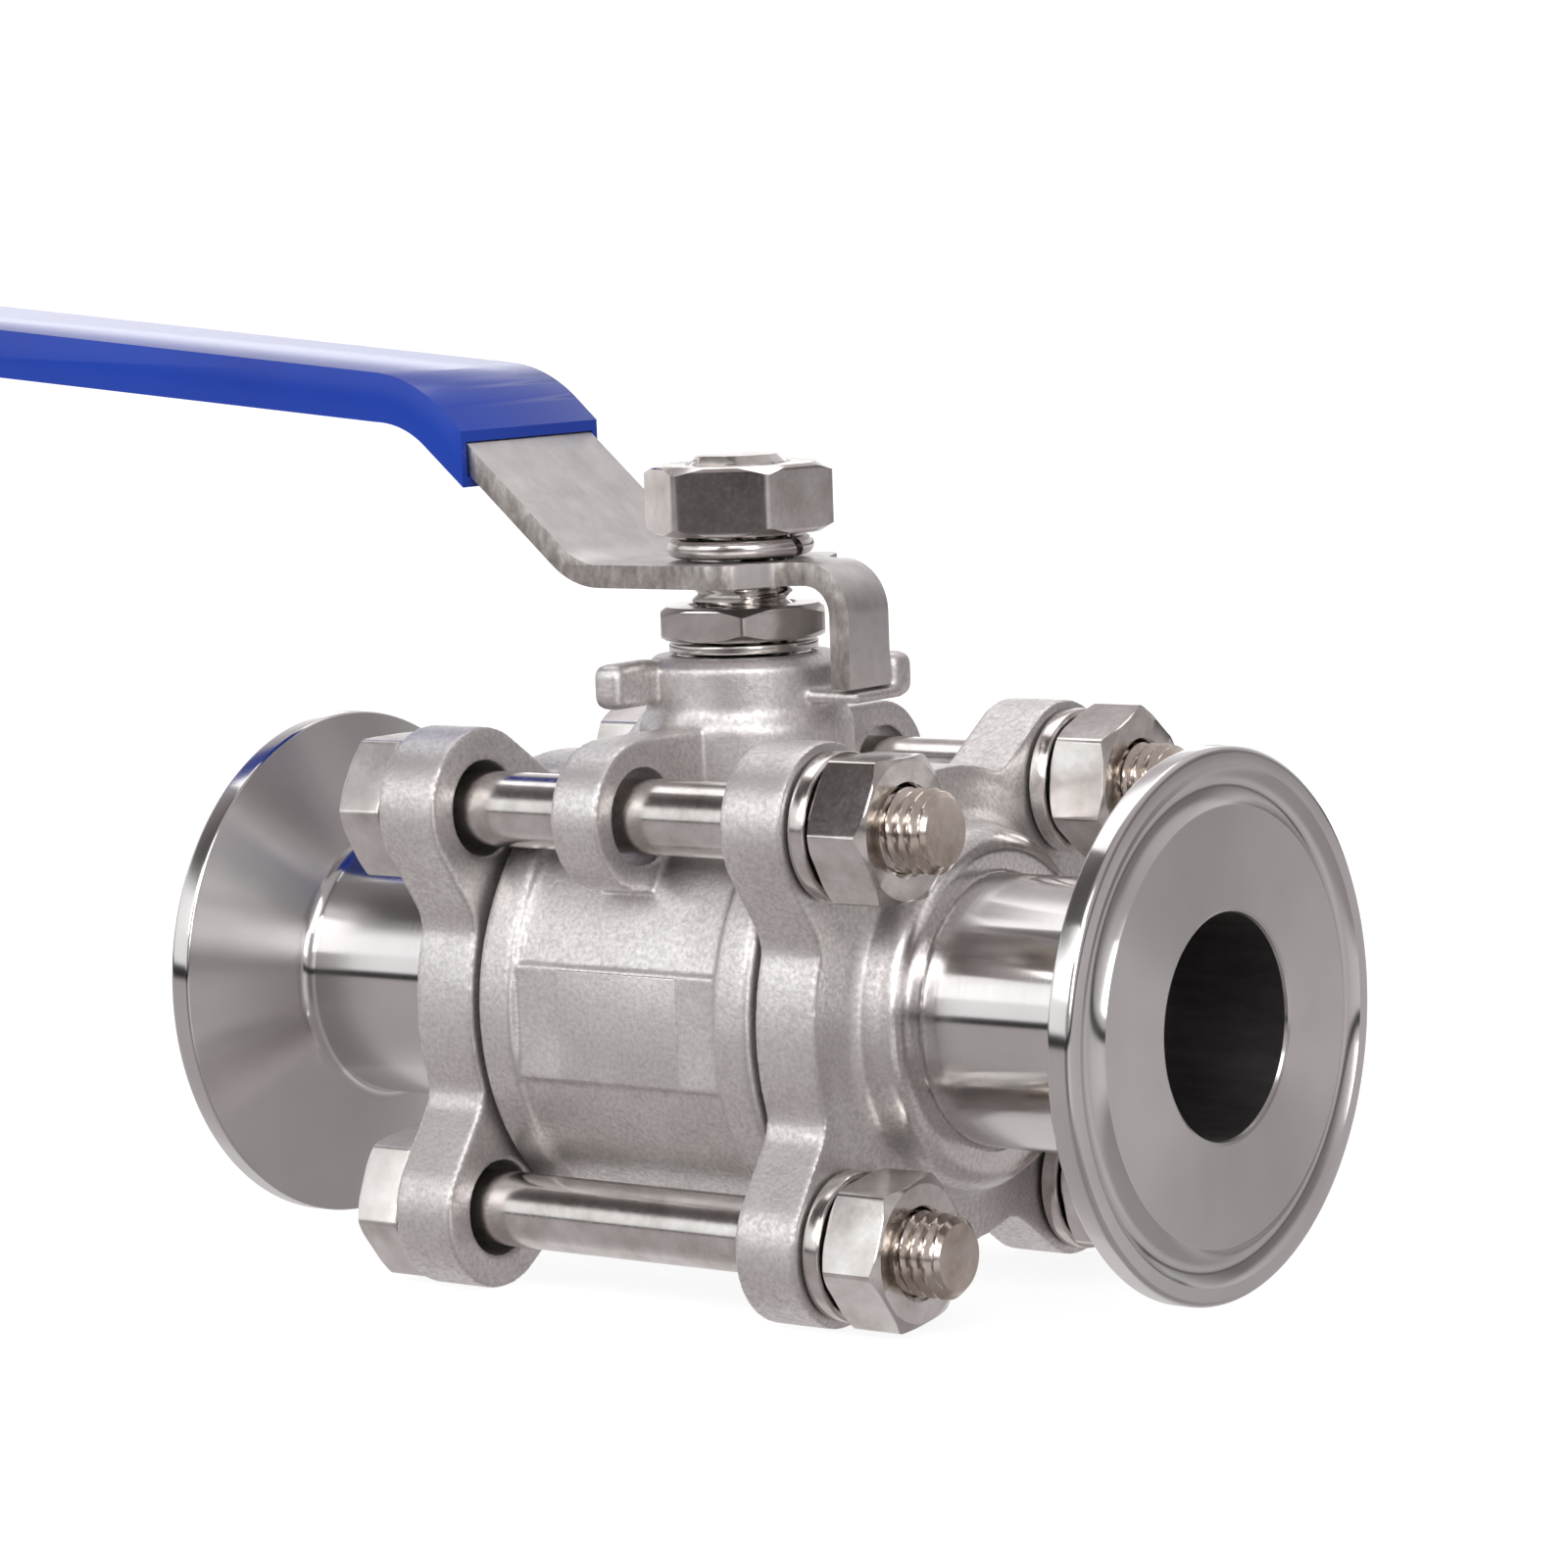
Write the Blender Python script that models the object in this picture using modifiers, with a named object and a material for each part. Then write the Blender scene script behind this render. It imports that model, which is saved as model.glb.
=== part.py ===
"""Three-piece ball valve with clamp ferrules on both ends and a lever, modelled open.

The origin is the centre of the ball. X is the pipe's axis, Z is the stem's axis, and the near side
is -Y. The lever points along -X while the valve is open, and turns to +Y to close it.
"""

import bmesh
import bpy
from math import asin, atan2, cos, degrees, pi, radians, sin, sqrt, tan
from mathutils import Matrix, Vector

MM = 0.001

# Gaps
FIT = 0.3 * MM                    # between pieces that touch or run on each other
JOINT_GAP = 0.7 * MM              # between the body's end and a cap's flange, outside the seal
SPARE = 2.0 * MM                  # how far cutters and hidden roots run past a surface

# Facets
FINE = 32                         # steps round the large turned forms
MEDIUM = 24                       # steps round the stem and its rings
SMALL = 16                        # steps round the bolts and in nuts
EAR_STEPS = 8                     # steps round an ear
DISC_STEPS = 3                    # steps along the flange's disc between two arms
GROOVE_STEPS = 4                  # steps across the gasket groove
BALL_STEPS = 8                    # steps along the ball, from one end of its bore to the other
SEAT_STEPS = 3                    # steps across a seat's hollow face
BEND_STEPS = 4                    # steps round a bend or a corner of the lever
HUB_STEPS = 3                     # steps round the hub's edge
FILLET_STEPS = 2                  # steps round the smallest fillets
WIRE_STEPS = 7                    # steps round the lock ring's section
WELD = 0.002 * MM                 # points closer than this are joined
SHARP = 50.0                      # degrees; steeper edges are rounded where a piece has rounded edges
SHADED = 30.0                     # degrees; flatter edges are shaded smooth

# Flow passage
PORT_RADIUS = 10.0 * MM           # ball and caps
BALL_WALL = 6.0 * MM              # from the port to the outside, at the middle of the ball
CAVITY_ROOM = 1.0 * MM            # round the ball, in the body
BALL_RADIUS = PORT_RADIUS + BALL_WALL
CAVITY_RADIUS = BALL_RADIUS + CAVITY_ROOM

# Body
SEAL_LAND = 1.8 * MM              # width of the counterbore that holds the body seal
SEAL_SEAT_DEPTH = 1.7 * MM
BARREL_WALL = 3.0 * MM            # outside that counterbore
END_RING_PROUD = 0.8 * MM         # above the barrel
END_RING_WIDTH = 4.2 * MM
PAD_SINK = 0.2 * MM               # flat pad on the near side, below the barrel's outermost line
PAD_TOP = 4.9 * MM
PAD_BOTTOM = -5.9 * MM
BODY_HALF_LENGTH = BALL_RADIUS    # the body is as long as the ball is thick
SEAL_SEAT_RADIUS = CAVITY_RADIUS + SEAL_LAND
BARREL_RADIUS = SEAL_SEAT_RADIUS + BARREL_WALL
END_RING_RADIUS = BARREL_RADIUS + END_RING_PROUD
PAD_HALF_LENGTH = BODY_HALF_LENGTH - END_RING_WIDTH    # from end ring to end ring

# Bolts, nuts and lock washers
BOLT_RADIUS = 3.9 * MM            # over the thread
BOLT_ROOM = 1.31 * MM             # between a bolt and the barrel
BOLT_HOLE_ROOM = 0.6 * MM         # round a bolt in its holes
SHANK_STEP = 0.35 * MM            # from the thread down to the plain shank
THREAD_LENGTH = 20.0 * MM
THREAD_CHAMFER = 0.8 * MM
BOLT_STUB = 4.1 * MM              # past the nut
BOLT_HEX = 13.0 * MM              # across flats
HEAD_HEIGHT = 5.3 * MM
NUT_HEIGHT = 6.3 * MM
WASHER_OVERHANG = 0.4 * MM        # past the flats of the nut
WASHER_HEIGHT = 1.7 * MM
WASHER_SPLIT = 0.9 * MM
SPLIT_LEAN = 25.0                 # degrees, from upright
HEX_CHAMFER_ANGLE = 30.0          # degrees
HEX_FACE_SHARE = 0.97             # of the width across flats, where the chamfer starts
HEX_TURNS = {"near_upper": 0.0, "near_lower": 8.0, "far_upper": 22.0, "far_lower": -14.0}
SHANK_RADIUS = BOLT_RADIUS - SHANK_STEP
BOLT_HOLE_RADIUS = BOLT_RADIUS + BOLT_HOLE_ROOM
BOLT_OFFSET = (BARREL_RADIUS + BOLT_ROOM + BOLT_RADIUS) / sqrt(2.0)    # in Y and in Z, from the pipe's axis
WASHER_RADIUS = BOLT_HEX / 2 + WASHER_OVERHANG

# The body's two ears, for the upper bolts
EAR_WALL = 2.5 * MM               # round the bolt's hole
EAR_THICKNESS = 5.5 * MM
EAR_SHIFT = -0.5 * MM             # along X, from the centre of the ball
EAR_EDGE = 0.8 * MM
EAR_RADIUS = BOLT_HOLE_RADIUS + EAR_WALL

# Caps
FLANGE_THICKNESS = 6.8 * MM
FLANGE_PROUD = 0.7 * MM           # above the barrel, between the ears
FLANGE_EDGE = 1.2 * MM
CREASE_ANGLE = 21.5               # degrees from the disc's middle to the foot of an arm
CREASE_ROUND = 3.5 * MM
SPOT_FACE_ROOM = 0.7 * MM         # round a lock washer
SPOT_FACE_WALL = 0.1 * MM         # from the spot face to the flange's edge
SPIGOT_LENGTH = 4.2 * MM
SPIGOT_WALL = 1.4 * MM            # round the seat
SEAT_POCKET_DEPTH = 3.4 * MM      # from the spigot's end
HUB_HEIGHT = 4.8 * MM             # above the flange
HUB_WALL = 4.0 * MM               # round the ferrule's tube
HUB_ROUND = 2.4 * MM
HUB_FLARE = 1.3 * MM              # how far the flange face rises towards the hub
SOCKET_DEPTH = 8.0 * MM           # for the ferrule's tube
FLANGE_RADIUS = BARREL_RADIUS + FLANGE_PROUD
SPOT_FACE_RADIUS = WASHER_RADIUS + SPOT_FACE_ROOM
FLANGE_EAR_RADIUS = SPOT_FACE_RADIUS + SPOT_FACE_WALL
SPIGOT_RADIUS = CAVITY_RADIUS - FIT
FLANGE_INNER = BODY_HALF_LENGTH + JOINT_GAP
FLANGE_OUTER = FLANGE_INNER + FLANGE_THICKNESS
SPIGOT_END = FLANGE_INNER - SPIGOT_LENGTH
SEAT_BACK = SPIGOT_END + SEAT_POCKET_DEPTH
HUB_END = FLANGE_OUTER + HUB_HEIGHT
WASHER_FOOT = FLANGE_OUTER + FIT
NUT_FOOT = WASHER_FOOT + WASHER_HEIGHT + FIT
BOLT_LENGTH = FLANGE_OUTER + FIT + NUT_FOOT + NUT_HEIGHT + BOLT_STUB

# Seats
SEAT_RIM = 1.4 * MM               # flat land outside the hollow face
SEAT_STEP = 0.2 * MM              # from the port out to the seat's bore
SEAT_OUTER_RADIUS = SPIGOT_RADIUS - SPIGOT_WALL - FIT
SEAT_LAND_RADIUS = SEAT_OUTER_RADIUS - SEAT_RIM
SEAT_BORE_RADIUS = PORT_RADIUS + SEAT_STEP

# Ferrules
HALF_LENGTH = 53.0 * MM           # from the centre of the ball to each sealing face
RIM_RADIUS = 25.25 * MM
RIM_WIDTH = 2.6 * MM
RIM_EDGE = 0.6 * MM
RIM_FACE_DROP = 0.25 * MM         # the outer band lies behind the sealing face
RIM_BACK_ANGLE = 20.0             # degrees
GROOVE_INSET = 3.5 * MM           # from the rim to the middle of the gasket groove
GROOVE_HALF_WIDTH = 1.75 * MM
GROOVE_DEPTH = 0.9 * MM
BORE_STEP = 0.3 * MM              # from the port out to the ferrule's bore
TUBE_WALL = 2.4 * MM
BORE_CHAMFER = 0.4 * MM
TUBE_FILLET = 1.5 * MM
GROOVE_RADIUS = RIM_RADIUS - GROOVE_INSET
FERRULE_BORE_RADIUS = PORT_RADIUS + BORE_STEP
TUBE_RADIUS = FERRULE_BORE_RADIUS + TUBE_WALL
HUB_RADIUS = TUBE_RADIUS + FIT + HUB_WALL
RIM_BACK = HALF_LENGTH - RIM_WIDTH

# Stem and packing
STEM_RADIUS = 4.8 * MM
STEM_CHAMFER = 0.9 * MM
STEM_STUB = 0.8 * MM              # past the lever nut
FLAT_DEPTH = 1.05 * MM            # of the two flats that drive the lever
FLATS_START = 0.4 * MM            # above the packing nut
SHOULDER_STEP = 1.7 * MM          # from the stem out to its shoulder
SHOULDER_HEIGHT = 2.3 * MM
TANG_HALF_THICKNESS = 3.0 * MM
TANG_INSET = 0.5 * MM             # from the shoulder's edge to the tang's side
SLOT_DEPTH = 4.0 * MM             # in the top of the ball
THRUST_HEIGHT = 1.0 * MM
SHAFT_GUIDE_LENGTH = 2.3 * MM     # where the body guides the stem, under the packing
PACKING_WIDTH = 1.3 * MM
PACKING_COUNT = 3
PACKING_HEIGHT = 1.8 * MM
GLAND_HEIGHT = 2.4 * MM
SPRING_WIDTH = 2.0 * MM
SPRING_HEIGHT = 0.9 * MM
PACKING_NUT_WALL = 2.95 * MM      # from the stem to a flat
PACKING_NUT_HEIGHT = 3.2 * MM
PACKING_NUT_TURN = -53.0          # degrees, of one corner from +X
STEM_HOLE_RADIUS = STEM_RADIUS + FIT
STEM_HALF_FLATS = STEM_RADIUS - FLAT_DEPTH
SHOULDER_RADIUS = STEM_RADIUS + SHOULDER_STEP
TANG_HALF_WIDTH = SHOULDER_RADIUS - TANG_INSET
STUFFING_RADIUS = STEM_HOLE_RADIUS + PACKING_WIDTH + FIT
SPRING_RADIUS = STEM_HOLE_RADIUS + SPRING_WIDTH
PACKING_NUT_HEX = 2 * (STEM_RADIUS + PACKING_NUT_WALL)
SHOULDER_FOOT = CAVITY_RADIUS + FIT
SHOULDER_TOP = SHOULDER_FOOT + SHOULDER_HEIGHT
THRUST_FOOT = SHOULDER_TOP + FIT
GUIDE_FOOT = THRUST_FOOT + THRUST_HEIGHT + FIT
STUFFING_FOOT = GUIDE_FOOT + SHAFT_GUIDE_LENGTH
PACKING_TOP = STUFFING_FOOT + PACKING_COUNT * (PACKING_HEIGHT + FIT)

# Neck
NECK_WALL = 2.7 * MM              # round the packing
NECK_SPREAD = 0.8 * MM            # from the neck out to its foot
NECK_COLLAR = 4.6 * MM            # straight part at the top
NECK_FLARE = 2.2 * MM             # height over which it spreads
NECK_EDGE = 0.9 * MM
LUG_HEIGHT = 4.3 * MM             # of the travel stops, level with the neck's top
LUG_WIDTH = 3.3 * MM
LUG_EDGE = 1.1 * MM
LEDGE_HEIGHT = 1.1 * MM           # under the lever's tab
LEDGE_OVERHANG = 2.5 * MM
NECK_RADIUS = STUFFING_RADIUS + NECK_WALL
NECK_FOOT_RADIUS = NECK_RADIUS + NECK_SPREAD
NECK_TOP = PACKING_TOP + FIT + GLAND_HEIGHT
NECK_FLARE_TOP = NECK_TOP - NECK_COLLAR
NECK_FLARE_FOOT = NECK_FLARE_TOP - NECK_FLARE
LUG_FOOT = NECK_TOP - LUG_HEIGHT
TAB_FOOT = LUG_FOOT + LEDGE_HEIGHT + FIT
SPRING_FOOT = NECK_TOP + FIT
PACKING_NUT_FOOT = SPRING_FOOT + SPRING_HEIGHT + FIT
STEM_FLATS_FOOT = PACKING_NUT_FOOT + PACKING_NUT_HEIGHT + FLATS_START

# Lever and its nut
LEVER_LIFT = 1.6 * MM             # from the foot of the stem's flats to the underside of the plate
LEVER_THICKNESS = 2.2 * MM
LEVER_WIDTH = 19.0 * MM
LEVER_LENGTH = 125.0 * MM         # from the stem's axis to the end of the plate
LEVER_RISE_START = 12.5 * MM
LEVER_RISE_ANGLE = 41.0           # degrees
LEVER_RISE = 17.8 * MM            # from the plate's underside to the height where the grip begins
GRIP_ANGLE = 5.3                  # degrees
RISE_BEND_RADIUS = 7.5 * MM       # at the middle of the plate, like the next two
GRIP_BEND_RADIUS = 12.0 * MM
TAB_BEND_RADIUS = 3.8 * MM
TAB_ROOM = 3.4 * MM               # between the neck and the tab
TAB_HALF_WIDTH = 3.2 * MM
TAB_SHOULDER = 4.7 * MM           # where the plate starts to narrow, from the stem's axis
TAB_SHOULDER_ROUND = 3.0 * MM
LEVER_CORNER = 8.5 * MM           # rounded end of the plate
SLEEVE_START = 25.2 * MM          # from the stem's axis
SLEEVE_WALL = 1.1 * MM            # above and below the plate, along the grip
SLEEVE_MOUTH_WALL = 0.5 * MM      # above and below the plate, at the open end
SLEEVE_SIDE_WALL = 0.6 * MM
SLEEVE_TAPER = 12.0 * MM          # length over which the wall grows
SLEEVE_EDGE = 0.8 * MM
LOCK_RING_WIRE = 1.9 * MM         # across the round section of the washer under the lever nut
LEVER_NUT_WALL = 3.2 * MM         # from the stem to a flat
LEVER_NUT_HEIGHT = 6.6 * MM
LEVER_NUT_TURN = -34.6            # degrees, of one corner from +X
LEVER_FOOT = STEM_FLATS_FOOT + LEVER_LIFT
LEVER_TOP = LEVER_FOOT + LEVER_THICKNESS
LEVER_RISE_TOP = LEVER_FOOT + LEVER_RISE
TAB_REACH = NECK_RADIUS + TAB_ROOM + LEVER_THICKNESS
LUG_REACH = TAB_REACH + FIT
STOP_FACE = TAB_HALF_WIDTH + FIT
LOCK_RING_RADIUS = STEM_HOLE_RADIUS + LOCK_RING_WIRE
LOCK_RING_FOOT = LEVER_TOP + FIT
LEVER_NUT_HEX = 2 * (STEM_RADIUS + LEVER_NUT_WALL)
LEVER_NUT_FOOT = LOCK_RING_FOOT + LOCK_RING_WIRE + FIT
STEM_TOP = LEVER_NUT_FOOT + LEVER_NUT_HEIGHT + STEM_STUB

ALONG_RIGHT = Matrix.Rotation(pi / 2, 4, "Y")      # turns local Z to +X
ALONG_LEFT = Matrix.Rotation(-pi / 2, 4, "Y")      # turns local Z to -X
CORNERS = {
    "near_upper": (-BOLT_OFFSET, BOLT_OFFSET),
    "near_lower": (-BOLT_OFFSET, -BOLT_OFFSET),
    "far_upper": (BOLT_OFFSET, BOLT_OFFSET),
    "far_lower": (BOLT_OFFSET, -BOLT_OFFSET),
}


def clear_scene():
    for item in list(bpy.data.objects):
        bpy.data.objects.remove(item, do_unlink=True)


def new_collection(name):
    collection = bpy.data.collections.new(name)
    bpy.context.scene.collection.children.link(collection)
    return collection


def metal(name, colour, roughness, metallic=1.0):
    """Principled material; plastics and elastomers pass metallic 0."""
    material = bpy.data.materials.new(name)
    material.use_nodes = True
    shader = material.node_tree.nodes["Principled BSDF"]
    shader.inputs["Base Color"].default_value = (*colour, 1.0)
    shader.inputs["Roughness"].default_value = roughness
    shader.inputs["Metallic"].default_value = metallic
    material.diffuse_color = (*colour, 1.0)
    return material


clear_scene()
PARTS = new_collection("three_piece_ball_valve")
TOOLS = new_collection("cutters")
CAST = metal("cast_stainless", (0.56, 0.53, 0.50), 0.45)
TURNED = metal("turned_stainless", (0.62, 0.60, 0.58), 0.22)
BRIGHT = metal("bright_stainless", (0.66, 0.61, 0.56), 0.18)
PLATE = metal("rolled_stainless", (0.58, 0.55, 0.52), 0.38)
VINYL = metal("blue_vinyl", (0.01, 0.06, 0.42), 0.30, metallic=0.0)
PTFE = metal("white_ptfe", (0.85, 0.85, 0.82), 0.50, metallic=0.0)


# Shapes

def link_mesh(name, mesh, collection=TOOLS):
    piece = bpy.data.objects.new(name, mesh)
    collection.objects.link(piece)
    if collection is TOOLS:
        piece.hide_render = True
        piece.display_type = "WIRE"
    return piece


def evaluated_mesh(piece):
    """The piece with its modifiers applied, welded, with its faces pointing out."""
    graph = bpy.context.evaluated_depsgraph_get()
    mesh = bpy.data.meshes.new_from_object(piece.evaluated_get(graph))
    shape = bmesh.new()
    shape.from_mesh(mesh)
    bmesh.ops.remove_doubles(shape, verts=shape.verts, dist=WELD)
    bmesh.ops.recalc_face_normals(shape, faces=shape.faces)
    shape.to_mesh(mesh)
    shape.free()
    return mesh


def turned(name, profile, steps, ring=False):
    """Solid of revolution about Z, from (radius, height) points down its outer side.

    A ring's profile is a closed loop. Another profile starts and ends on the axis.
    """
    edges = [(i, i + 1) for i in range(len(profile) - 1)]
    if ring:
        edges.append((len(profile) - 1, 0))
    line = bpy.data.meshes.new(name)
    line.from_pydata([(radius, 0.0, height) for radius, height in profile], edges, [])
    piece = link_mesh(name, line)
    screw = piece.modifiers.new("Turn", "SCREW")
    screw.steps = steps
    screw.render_steps = steps
    screw.use_merge_vertices = True
    screw.merge_threshold = 0.001 * MM
    piece.data = evaluated_mesh(piece)
    piece.modifiers.clear()
    bpy.data.meshes.remove(line)
    return piece


def tube(name, outer, inner, foot, top, steps):
    """Plain ring between two radii and two heights."""
    return turned(name, [(outer, top), (outer, foot), (inner, foot), (inner, top)], steps, ring=True)


def rod(name, radius, foot, top, steps):
    return turned(name, [(0.0, top), (radius, top), (radius, foot), (0.0, foot)], steps)


def plate(name, outline, thickness):
    """Flat outline in XY, extruded to both sides of its plane."""
    curve = bpy.data.curves.new(name, "CURVE")
    curve.dimensions = "2D"
    curve.fill_mode = "BOTH"
    curve.extrude = thickness / 2
    spline = curve.splines.new("POLY")
    spline.points.add(len(outline) - 1)
    for point, (x, y) in zip(spline.points, outline):
        point.co = (x, y, 0.0, 1.0)
    spline.use_cyclic_u = True
    guide = bpy.data.objects.new(name + "_outline", curve)
    TOOLS.objects.link(guide)
    piece = link_mesh(name, evaluated_mesh(guide))
    bpy.data.objects.remove(guide, do_unlink=True)
    return piece


def block(name, low, high):
    """Box between two opposite corners."""
    shape = bmesh.new()
    bmesh.ops.create_cube(shape, size=1.0)
    size = Vector(high) - Vector(low)
    middle = (Vector(high) + Vector(low)) / 2
    bmesh.ops.scale(shape, vec=size, verts=shape.verts)
    bmesh.ops.translate(shape, vec=middle, verts=shape.verts)
    mesh = bpy.data.meshes.new(name)
    shape.to_mesh(mesh)
    shape.free()
    return link_mesh(name, mesh)


def rounded(piece, width, cuts):
    """Round the sharp edges."""
    bevel = piece.modifiers.new("Round", "BEVEL")
    bevel.width = width
    bevel.segments = cuts
    bevel.limit_method = "ANGLE"
    bevel.angle_limit = radians(SHARP)
    bake(piece)
    return piece


def bake(piece):
    old = piece.data
    piece.data = evaluated_mesh(piece)
    piece.modifiers.clear()
    if old.users == 0:
        bpy.data.meshes.remove(old)


def combine(piece, tool, operation):
    """Boolean of a piece with a tool, which is used up."""
    modifier = piece.modifiers.new(operation.title(), "BOOLEAN")
    modifier.operation = operation
    modifier.solver = "EXACT"
    modifier.object = tool
    bake(piece)
    bpy.data.objects.remove(tool, do_unlink=True)
    return piece


def add(piece, tool):
    return combine(piece, tool, "UNION")


def cut(piece, tool):
    return combine(piece, tool, "DIFFERENCE")


def keep(piece, tool):
    return combine(piece, tool, "INTERSECT")


def moved(piece, matrix):
    """Move the piece's own mesh."""
    piece.data.transform(matrix)
    return piece


def joined(name, pieces):
    """Several solids that stay apart, as one tool."""
    shape = bmesh.new()
    for piece in pieces:
        shape.from_mesh(piece.data)
        bpy.data.objects.remove(piece, do_unlink=True)
    mesh = bpy.data.meshes.new(name)
    shape.to_mesh(mesh)
    shape.free()
    return link_mesh(name, mesh)


def finish(piece, name, material, parent, matrix=Matrix.Identity(4)):
    """Make a shape a named piece: material, smooth shading, place and parent."""
    piece.name = name
    piece.data.name = name
    piece.data.materials.clear()
    piece.data.materials.append(material)
    piece.data.shade_smooth()
    piece.data.set_sharp_from_angle(angle=radians(SHADED))
    TOOLS.objects.unlink(piece)
    PARTS.objects.link(piece)
    piece.hide_render = False
    piece.display_type = "TEXTURED"
    piece.parent = parent
    piece.matrix_world = matrix
    return piece


def copied(piece, name, matrix):
    """Another piece of the same mesh."""
    twin = piece.copy()
    twin.name = name
    PARTS.objects.link(twin)
    twin.matrix_world = matrix
    return twin


def axis_empty(name, matrix=Matrix.Identity(4)):
    empty = bpy.data.objects.new(name, None)
    PARTS.objects.link(empty)
    empty.empty_display_size = 20.0 * MM
    empty.matrix_world = matrix
    return empty


def arc(centre, radius, start, end, steps):
    """Points on an arc between two angles in degrees, both ends included."""
    points = []
    for step in range(steps + 1):
        angle = radians(start + (end - start) * step / steps)
        points.append((centre[0] + radius * cos(angle), centre[1] + radius * sin(angle)))
    return points


def softened(outline, radii, steps, closed=True):
    """Replace corners of an outline by arcs; radii maps a corner's index to its radius."""
    points = []
    count = len(outline)
    for index, corner in enumerate(outline):
        radius = radii.get(index, 0.0)
        if radius == 0.0 or (not closed and index in (0, count - 1)):
            points.append(tuple(corner))
            continue
        here = Vector(corner)
        back = (Vector(outline[index - 1]) - here).normalized()
        ahead = (Vector(outline[(index + 1) % count]) - here).normalized()
        opening = back.angle(ahead)
        trim = radius / tan(opening / 2)
        centre = here + (back + ahead).normalized() * radius / sin(opening / 2)
        first = here + back * trim - centre
        last = here + ahead * trim - centre
        start = atan2(first.y, first.x)
        turn = atan2(first.x * last.y - first.y * last.x, first.dot(last))
        for step in range(steps + 1):
            angle = start + turn * step / steps
            points.append((centre.x + radius * cos(angle), centre.y + radius * sin(angle)))
    return points


# Cap

def flange_outline():
    """Disc with four arms whose sides run straight to the round ears at the bolts."""
    crease = radians(CREASE_ANGLE)
    foot = Vector((FLANGE_RADIUS * cos(crease), FLANGE_RADIUS * sin(crease)))
    ear = Vector((BOLT_OFFSET, BOLT_OFFSET))
    to_ear = ear - foot
    lean = atan2(to_ear.y, to_ear.x) - asin(FLANGE_EAR_RADIUS / to_ear.length)
    reach = sqrt(to_ear.length ** 2 - FLANGE_EAR_RADIUS ** 2)
    touch = foot + Vector((cos(lean), sin(lean))) * reach - ear
    start = degrees(atan2(touch.y, touch.x))
    first_half = [tuple(foot)] + arc(ear, FLANGE_EAR_RADIUS, start, 90.0 - start, EAR_STEPS)
    disc = arc((0.0, 0.0), FLANGE_RADIUS, 90.0 - CREASE_ANGLE, 90.0 + CREASE_ANGLE, DISC_STEPS)
    quarter = first_half + disc[:-1]
    outline = []
    creases = {}
    for turn in range(4):
        creases[len(outline)] = CREASE_ROUND
        creases[len(outline) + len(first_half)] = CREASE_ROUND
        spin = Matrix.Rotation(turn * pi / 2, 2)
        outline += [tuple(spin @ Vector(point)) for point in quarter]
    return softened(outline, creases, FILLET_STEPS)


def hub_profile():
    """From the hub's end down its rounded edge and concave flare into the flange."""
    rounding = [
        (HUB_RADIUS - HUB_ROUND + radius, HUB_END - HUB_ROUND + height)
        for radius, height in arc((0.0, 0.0), HUB_ROUND, 90.0, 0.0, HUB_STEPS)
    ]
    flare_foot = FLANGE_RADIUS - FLANGE_EDGE
    flare = [
        (HUB_RADIUS + HUB_FLARE / 5, FLANGE_OUTER + HUB_FLARE),
        (HUB_RADIUS + HUB_FLARE, FLANGE_OUTER + HUB_FLARE / 2),
        (flare_foot, FLANGE_OUTER),
        (flare_foot, FLANGE_INNER + FLANGE_EDGE),
        (0.0, FLANGE_INNER + FLANGE_EDGE),
    ]
    return [(0.0, HUB_END)] + rounding + flare


def make_cap():
    """End cap about local Z, with its inner side down."""
    piece = plate("cap", flange_outline(), FLANGE_THICKNESS)
    moved(piece, Matrix.Translation((0.0, 0.0, (FLANGE_INNER + FLANGE_OUTER) / 2)))
    rounded(piece, FLANGE_EDGE, cuts=1)
    add(piece, turned("hub", hub_profile(), FINE))
    add(piece, rod("spigot", SPIGOT_RADIUS, SPIGOT_END, FLANGE_INNER + FLANGE_EDGE, FINE))
    socket_foot = HUB_END - SOCKET_DEPTH
    passage = [
        (0.0, HUB_END + SPARE),
        (TUBE_RADIUS + FIT, HUB_END + SPARE),
        (TUBE_RADIUS + FIT, socket_foot),
        (PORT_RADIUS, socket_foot),
        (PORT_RADIUS, SEAT_BACK),
        (SEAT_OUTER_RADIUS + FIT, SEAT_BACK),
        (SEAT_OUTER_RADIUS + FIT, SPIGOT_END - SPARE),
        (0.0, SPIGOT_END - SPARE),
    ]
    cut(piece, turned("passage", passage, FINE))
    hole = [
        (0.0, HUB_END + SPARE),
        (SPOT_FACE_RADIUS, HUB_END + SPARE),
        (SPOT_FACE_RADIUS, FLANGE_OUTER),
        (BOLT_HOLE_RADIUS, FLANGE_OUTER),
        (BOLT_HOLE_RADIUS, FLANGE_INNER - SPARE),
        (0.0, FLANGE_INNER - SPARE),
    ]
    holes = []
    for y, z in CORNERS.values():
        holes.append(moved(turned("hole", hole, SMALL), Matrix.Translation((z, y, 0.0))))
    cut(piece, joined("holes", holes))
    return piece


# Ferrule

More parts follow.
